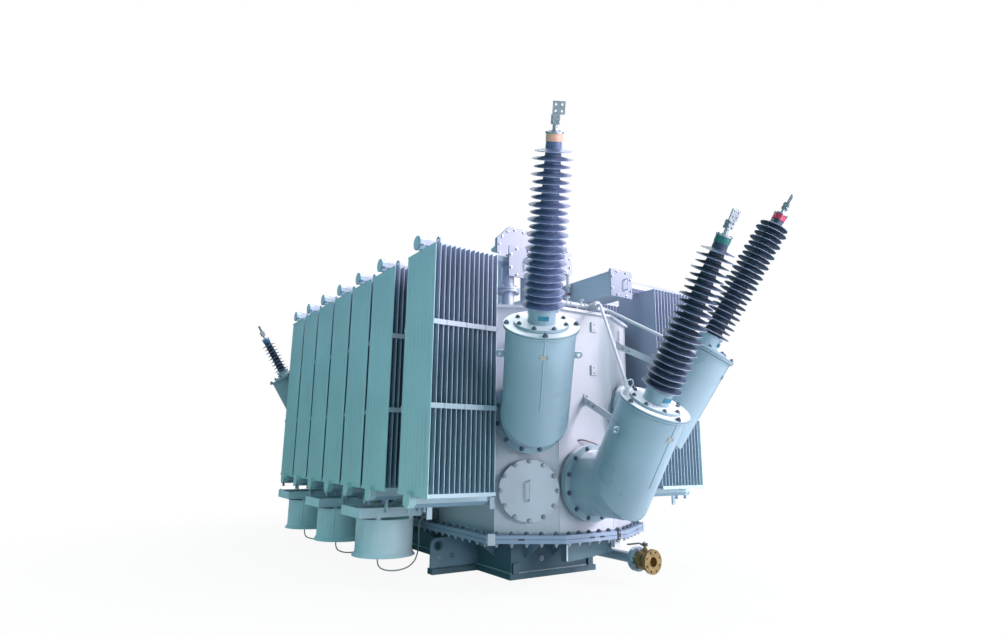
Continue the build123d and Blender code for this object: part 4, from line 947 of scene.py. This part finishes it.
for y in RADIATOR_YS:
    for k in range(7):
        flutes.both_sides(flute(20, 815, 2700, 2.6, 7, 14), shift(PANEL_FACE, y + (k - 3) * FLUTE_PITCH, 0))
    for k in range(8):
        for z in (802, 2120):
            radiator_fittings.both_sides(weld_spot, shift(PANEL_FACE, y + (k - 3.5) * FLUTE_PITCH, z),
                                         turn(90, "Y"))
    flutes.both_sides(bar(4, 500, 16, 1), shift(PANEL_FACE + 1, y, 2712))
    radiator_lugs.both_sides(disc(62, 11, 40), shift(PANEL_FACE + 33.5, y, HEADER_HIGH), turn(90, "Y"))
    radiator_fittings.both_sides(disc(60, 11, 40), shift(PANEL_FACE + 33.5, y, HEADER_LOW), turn(90, "Y"))
    radiator_fittings.both_sides(bolt(15), shift(1540, y, 2839))
    for x in (1440, 1572):
        radiator_lugs.both_sides(drain_nut, shift(x, y, 666), turn(180, "X"))
        radiator_lugs.both_sides(vent_plug, shift(x, y - 54, 2760), turn(115, "X"))
    radiator_lugs.both_sides(eye(16, 30, 10), shift(1500, y - 205, 2728), turn(90, "Z"))
    for side in (-1, 1):
        for x in (1545, 1430, 1250, 1070, 960):
            for level in (1413, 2065):
                tie_bar = [(x, y + side * 268, level + up) for up in (3, 37)]
                radiator_seams.both_sides(bead(tie_bar, 3))
        for z in (HEADER_LOW + 52, HEADER_HIGH - 52):
            header = [(x, y + side * 26, z) for x in (953, PANEL_FACE)]
            radiator_seams.both_sides(bead(header, 4, 11))
radiator_valves = Piece("radiator_valves", "flange_paint")
valve = join(disc(92, 15, 36), moved(disc(72, 22, 36), shift(0, 0, 15)),
             moved(disc(92, 15, 36), shift(0, 0, 37)))
grip = join(lathe([(10, 0), (10, 34), (0, 34)], 14), moved(bar(64, 14, 7, 2), shift(22, 0, 28)))
for y in RADIATOR_YS[1:]:
    radiator_valves.both_sides(valve, shift(844, y, HEADER_LOW), turn(90, "Y"))
    radiator_valves.both_sides(grip, shift(870, y, HEADER_LOW + 70))
    for side in SIDES:
        bolt_ring(small_bolts, bolt(13, stud=5), 6, 76, 30, side, shift(896, y, HEADER_LOW), turn(90, "Y"))
    radiator_valves.add(valve, shift(820, y, HEADER_HIGH), turn(90, "Y"))
    radiator_valves.add(grip, shift(846, y, HEADER_HIGH + 70))
    bolt_ring(small_bolts, bolt(13, stud=5), 6, 76, 30, shift(872, y, HEADER_HIGH), turn(90, "Y"))

# Fans
guards = Piece("fan_guards", "bolt_zinc", "fan_paint")
fan_details = Piece("fan_details", "fan_paint")
fan_plates = Piece("fan_bare_plates", "pale_paint", "fan_paint")
rivet = lathe([(6, 0), (5, 3), (0, 4)], 10)
for y in FAN_YS:
    at = shift(FAN_X, y, 0)
    for radius in (95, 130, 165, 200, 235, 266):
        guards.both_sides(hoop(radius, 168, 40, 2.5, 6), at)
    for k in range(12):
        angle = math.radians(30 * k + 15)
        c, s = math.cos(angle), math.sin(angle)
        guards.both_sides(tube([(88 * c, 88 * s, 172), (268 * c, 268 * s, 168)], 3, 6), at)
    fan_details.both_sides(hoop(284, 163.5, 64, 3, 6), at)
    fan_details.both_sides(hoop(261, 481, 64, 4, 6), at)
    seam = turn(-48, "Z")
    fan_details.both_sides(bar(52, 4, 272, 1), at, seam, shift(261, 0, 207), turn(90, "Z"))
    for k in range(7):
        for side in (-17, 17):
            fan_details.both_sides(rivet, at, seam, shift(262.5, side, 225 + 38 * k), turn(90, "Y"))
    fan_plates.both_sides(bar(70, 3, 70, 0.8), at, turn(-12, "Z"), shift(262, 0, 330), turn(90, "Z"))
    fan_details.both_sides(bar(110, 80, 34, 3), at, shift(0, -40, 151))
    for x in (-40, 40):
        fan_details.both_sides(ring(86, 89, 10, 40), at, shift(0, 0, 240 + x))
    for x in (1045, 1620):
        for side in (-210, 210):
            small_bolts.both_sides(bolt(9, stud=4), shift(x, y + side, 590))
    for x in (1088, 1400):
        for side in (-1, 1):
            for z in (560, 578):
                small_bolts.both_sides(bolt(7), shift(x + 5, y + side * 255, z), turn(90, "Y"))

# Cable glands and boxes on the wall
glands = Piece("cable_glands", "gland_black", "cable_rubber")
box_gland = lathe([(10.2, 0), (13, 1), (13, 8), (9, 12), (7, 14)], 6)
motor_gland = lathe([(10.2, 0), (12.5, 1), (12.5, 7), (7, 12)], 6)
for y in FAN_YS:
    glands.add(box_gland, shift(-831, y - 38, 479), turn(-90, "Y"))
    glands.add(motor_gland, shift(-1360, y - 18, 150), turn(180, "X"))
    for dy in (-40, 40):
        for z in (450, 530):
            small_bolts.add(bolt(5), shift(-831, y - 38 + dy, z), turn(-90, "Y"))

# Drain valve
brass = Piece("drain_valve_details", "valve_brass")
drain = shift(DRAIN_X, -2842, DRAIN_Z) @ OUT
brass.add(ring(70, 78, 30, 40), drain, shift(0, 0, 22 + 66))
brass.add(lathe([(22, 60), (22, 92), (16, 96), (16, 100)], 24), shift(DRAIN_X, STEM_Y, DRAIN_Z))
brass.add(lathe([(41, 0), (50, 0), (50, 3), (46, 4.5), (41, 4.5)], 40), drain, shift(0, 0, 22 + 176))
first_flange = Piece("first_flange", "turret_paint")
first_flange.add(ring(69, 100.4, 22.4, 48), drain, shift(0, 0, 21.8))
drain_bolts = Piece("drain_bolts", "bolt_zinc", "turret_paint")
bolt_ring(drain_bolts, bolt(15, stud=7), 8, 80, 22.5, drain, shift(0, 0, 44))
bolt_ring(drain_bolts, bolt(15), 8, 80, 22.5, drain, turn(180, "X"))
lever_trim = Piece("lever_trim", "bolt_zinc", "lever_steel", body=LEVER)
lever_trim.add(bolt(13), shift(DRAIN_X, STEM_Y, DRAIN_Z + 138.3))
lever_grip = Piece("lever_grip", "gland_black", "lever_steel", body=LEVER)
lever_grip.add(bar(106, 27, 10, 3), shift(DRAIN_X - 146, STEM_Y, DRAIN_Z + 137.3))

# Pulling plates and base
base_details = Piece("base_details", "base_paint")
for sign in (-1, 1):
    for y in (-1602, 1602):
        stand = [turn(90 * sign, "X"), shift(0, 0, 13)]
        base_details.both_sides(ring(34, 46, 5, 32), shift(894, y, 240), *stand)
        base_details.both_sides(ring(10, 22, 4, 24), shift(747, y, 148), *stand)
        small_bolts.both_sides(bolt(14, stud=8), shift(876, y, 132), *stand)
        foot = [(x, y + sign * 16, BASE_TOP + 2) for x in (495, 960)]
        base_details.both_sides(bead(foot, 5))
base_details.both_sides(bar(60, 12, 90, 2), shift(430, LOWER_END - 16, BASE_TOP))
corner_pads = Piece("earth_pads", "pale_paint", "tank_paint")
corner_pads.add(bar(14, 8, 150, 1.5), shift(-234, NOSE_Y - 5, 206))
corner_pads.add(bar(72, 40, 78, 1.5), shift(283, -2700, 284))
corner_pads.add(bar(90, 60, 6, 1), shift(640, -2494, FLANGE_BOTTOM - 7), turn(BEARING, "Z"))
jumper = Piece("flange_jumpers", "gland_black", "cable_rubber")
for x, end, spin in ((250, -1, turn(0, "Z")), (-250, 1, turn(180, "Z"))):
    jumper.add(bar(40, 8, 78, 2), shift(x, end * 2772, 356), spin)
    for z in (372, 416):
        small_bolts.add(bolt(8), shift(x, end * 2776, z), spin, OUT)

# Terminals
terminal_bolts = Piece("terminal_bolts", "bolt_zinc", "terminal_metal")
for wall, kind in TURRETS:
    cap = wall @ drum_frame(kind, sheds_foot(kind) + kind.core + kind.tail + kind.cap)
    for x in (-19, 19):
        for z in (75, 107):
            terminal_bolts.add(bolt(8, stud=4), cap, shift(x, -20, z), turn(90, "X"))
            terminal_bolts.add(bolt(8), cap, shift(x, 20, z), turn(-90, "X"))
    bolt_ring(terminal_bolts, bolt(7), 4, kind.lid, 45, cap, shift(0, 0, 14))
    terminal_bolts.add(ring(16, 24, 9, 24), cap, shift(0, 0, 14))


for piece in Piece.gathered:
    piece.make()


# Floor, backdrop, light and camera
FLOOR_WHITE = 0.93
FLOOR_FADE = (2.4, 5.2)
FLOOR_HALF = 60.0
PHOTO_WIDTH = 1005.0
FOCAL_PIXELS = 613.0
SENSOR = 36.0
CAMERA_PLACE = (-3.683, -6.851, 1.120)
CAMERA_TURNS = (33.5, 11.97, 0.63)


def make_floor():
    """White ground that takes a faint shadow near the object and runs out into pure white."""
    material = bpy.data.materials.new("floor")
    tree = Tree(material)
    tree.nodes.remove(tree.nodes["Principled BSDF"])
    matte = tree.new("ShaderNodeBsdfDiffuse")
    matte.inputs["Color"].default_value = (0.55, 0.62, 0.64, 1.0)
    white = tree.new("ShaderNodeEmission")
    white.inputs["Strength"].default_value = 1.0
    length = tree.new("ShaderNodeVectorMath")
    length.operation = "LENGTH"
    tree.link(tree.new("ShaderNodeTexCoord").outputs["Object"], length.inputs[0])
    fade = tree.ramp(length.outputs["Value"], *FLOOR_FADE, FLOOR_WHITE, 1.0)
    seen = tree.math("MULTIPLY", fade, tree.new("ShaderNodeLightPath").outputs["Is Camera Ray"])
    both = tree.either(seen, matte.outputs[0], white.outputs[0])
    tree.link(both, tree.nodes["Material Output"].inputs["Surface"])
    corners = [(-FLOOR_HALF, -FLOOR_HALF, 0), (FLOOR_HALF, -FLOOR_HALF, 0),
               (FLOOR_HALF, FLOOR_HALF, 0), (-FLOOR_HALF, FLOOR_HALF, 0)]
    mesh = bpy.data.meshes.new("floor")
    mesh.from_pydata(corners, [], [(0, 1, 2, 3)])
    mesh.materials.append(material)
    floor = bpy.data.objects.new("floor", mesh)
    bpy.context.scene.collection.objects.link(floor)
    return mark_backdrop(floor)


def make_world():
    world = bpy.data.worlds.new("studio")
    bpy.context.scene.world = world
    tree = Tree(world)
    plain = tree.nodes["Background"]
    plain.inputs["Color"].default_value = (0.36, 0.80, 0.92, 1.0)
    plain.inputs["Strength"].default_value = 0.30
    white = tree.new("ShaderNodeBackground")
    white.inputs["Color"].default_value = (1, 1, 1, 1)
    white.inputs["Strength"].default_value = 1.0
    path = tree.new("ShaderNodeLightPath").outputs
    clear = tree.math("MAXIMUM", path["Is Camera Ray"], path["Is Transmission Ray"])
    both = tree.either(clear, plain.outputs[0], white.outputs[0])
    tree.link(both, tree.nodes["World Output"].inputs["Surface"])


def area_light(name, place, aim, size, power, colour):
    data = bpy.data.lights.new(name, "AREA")
    data.shape = "RECTANGLE"
    data.size, data.size_y = size
    data.energy = power
    data.color = colour
    lamp = bpy.data.objects.new(name, data)
    bpy.context.scene.collection.objects.link(lamp)
    lamp.location = place
    lamp.rotation_euler = (Vector(aim) - Vector(place)).to_track_quat("-Z", "Y").to_euler()


def make_camera():
    data = bpy.data.cameras.new("camera")
    data.sensor_fit = "HORIZONTAL"
    data.sensor_width = SENSOR
    data.lens = FOCAL_PIXELS / PHOTO_WIDTH * SENSOR
    data.clip_end = 200.0
    camera = bpy.data.objects.new("camera", data)
    bpy.context.scene.collection.objects.link(camera)
    yaw, pitch, roll = (math.radians(a) for a in CAMERA_TURNS)
    look = Vector((math.cos(pitch) * math.sin(yaw), math.cos(pitch) * math.cos(yaw), math.sin(pitch)))
    side = Vector((math.cos(yaw), -math.sin(yaw), 0))
    up = side.cross(look)
    right = side * math.cos(roll) + up * math.sin(roll)
    top = up * math.cos(roll) - side * math.sin(roll)
    place = Matrix((right, top, -look)).transposed().to_4x4()
    place.translation = Vector(CAMERA_PLACE)
    camera.matrix_world = place
    bpy.context.scene.camera = camera


make_camera()
make_floor()
make_world()
area_light("key", (6.5, -10.0, 7.0), (0, -1.5, 1.2), (3.0, 3.0), 1260, (1.0, 0.87, 0.97))
area_light("front", (0.8, -11.5, 2.4), (-0.4, -2.5, 1.4), (3.0, 3.0), 330, (0.92, 0.94, 1.0))
area_light("strip", (5.2, -9.4, 2.6), (-0.4, -3.0, 1.7), (0.9, 4.5), 190, (1.0, 0.90, 1.0))
area_light("top", (1.5, -1.5, 10.0), (0, -0.5, 1.0), (5.0, 8.0), 850, (1.0, 0.97, 1.0))
area_light("side", (-9.5, -3.0, 4.0), (0, 0, 1.2), (6.0, 5.0), 105, (0.40, 1.0, 0.92))
area_light("back", (0.5, 10.5, 6.5), (0, 0, 1.5), (6.0, 5.0), 260, (1.0, 1.0, 1.0))
bpy.context.scene.view_settings.view_transform = "Standard"
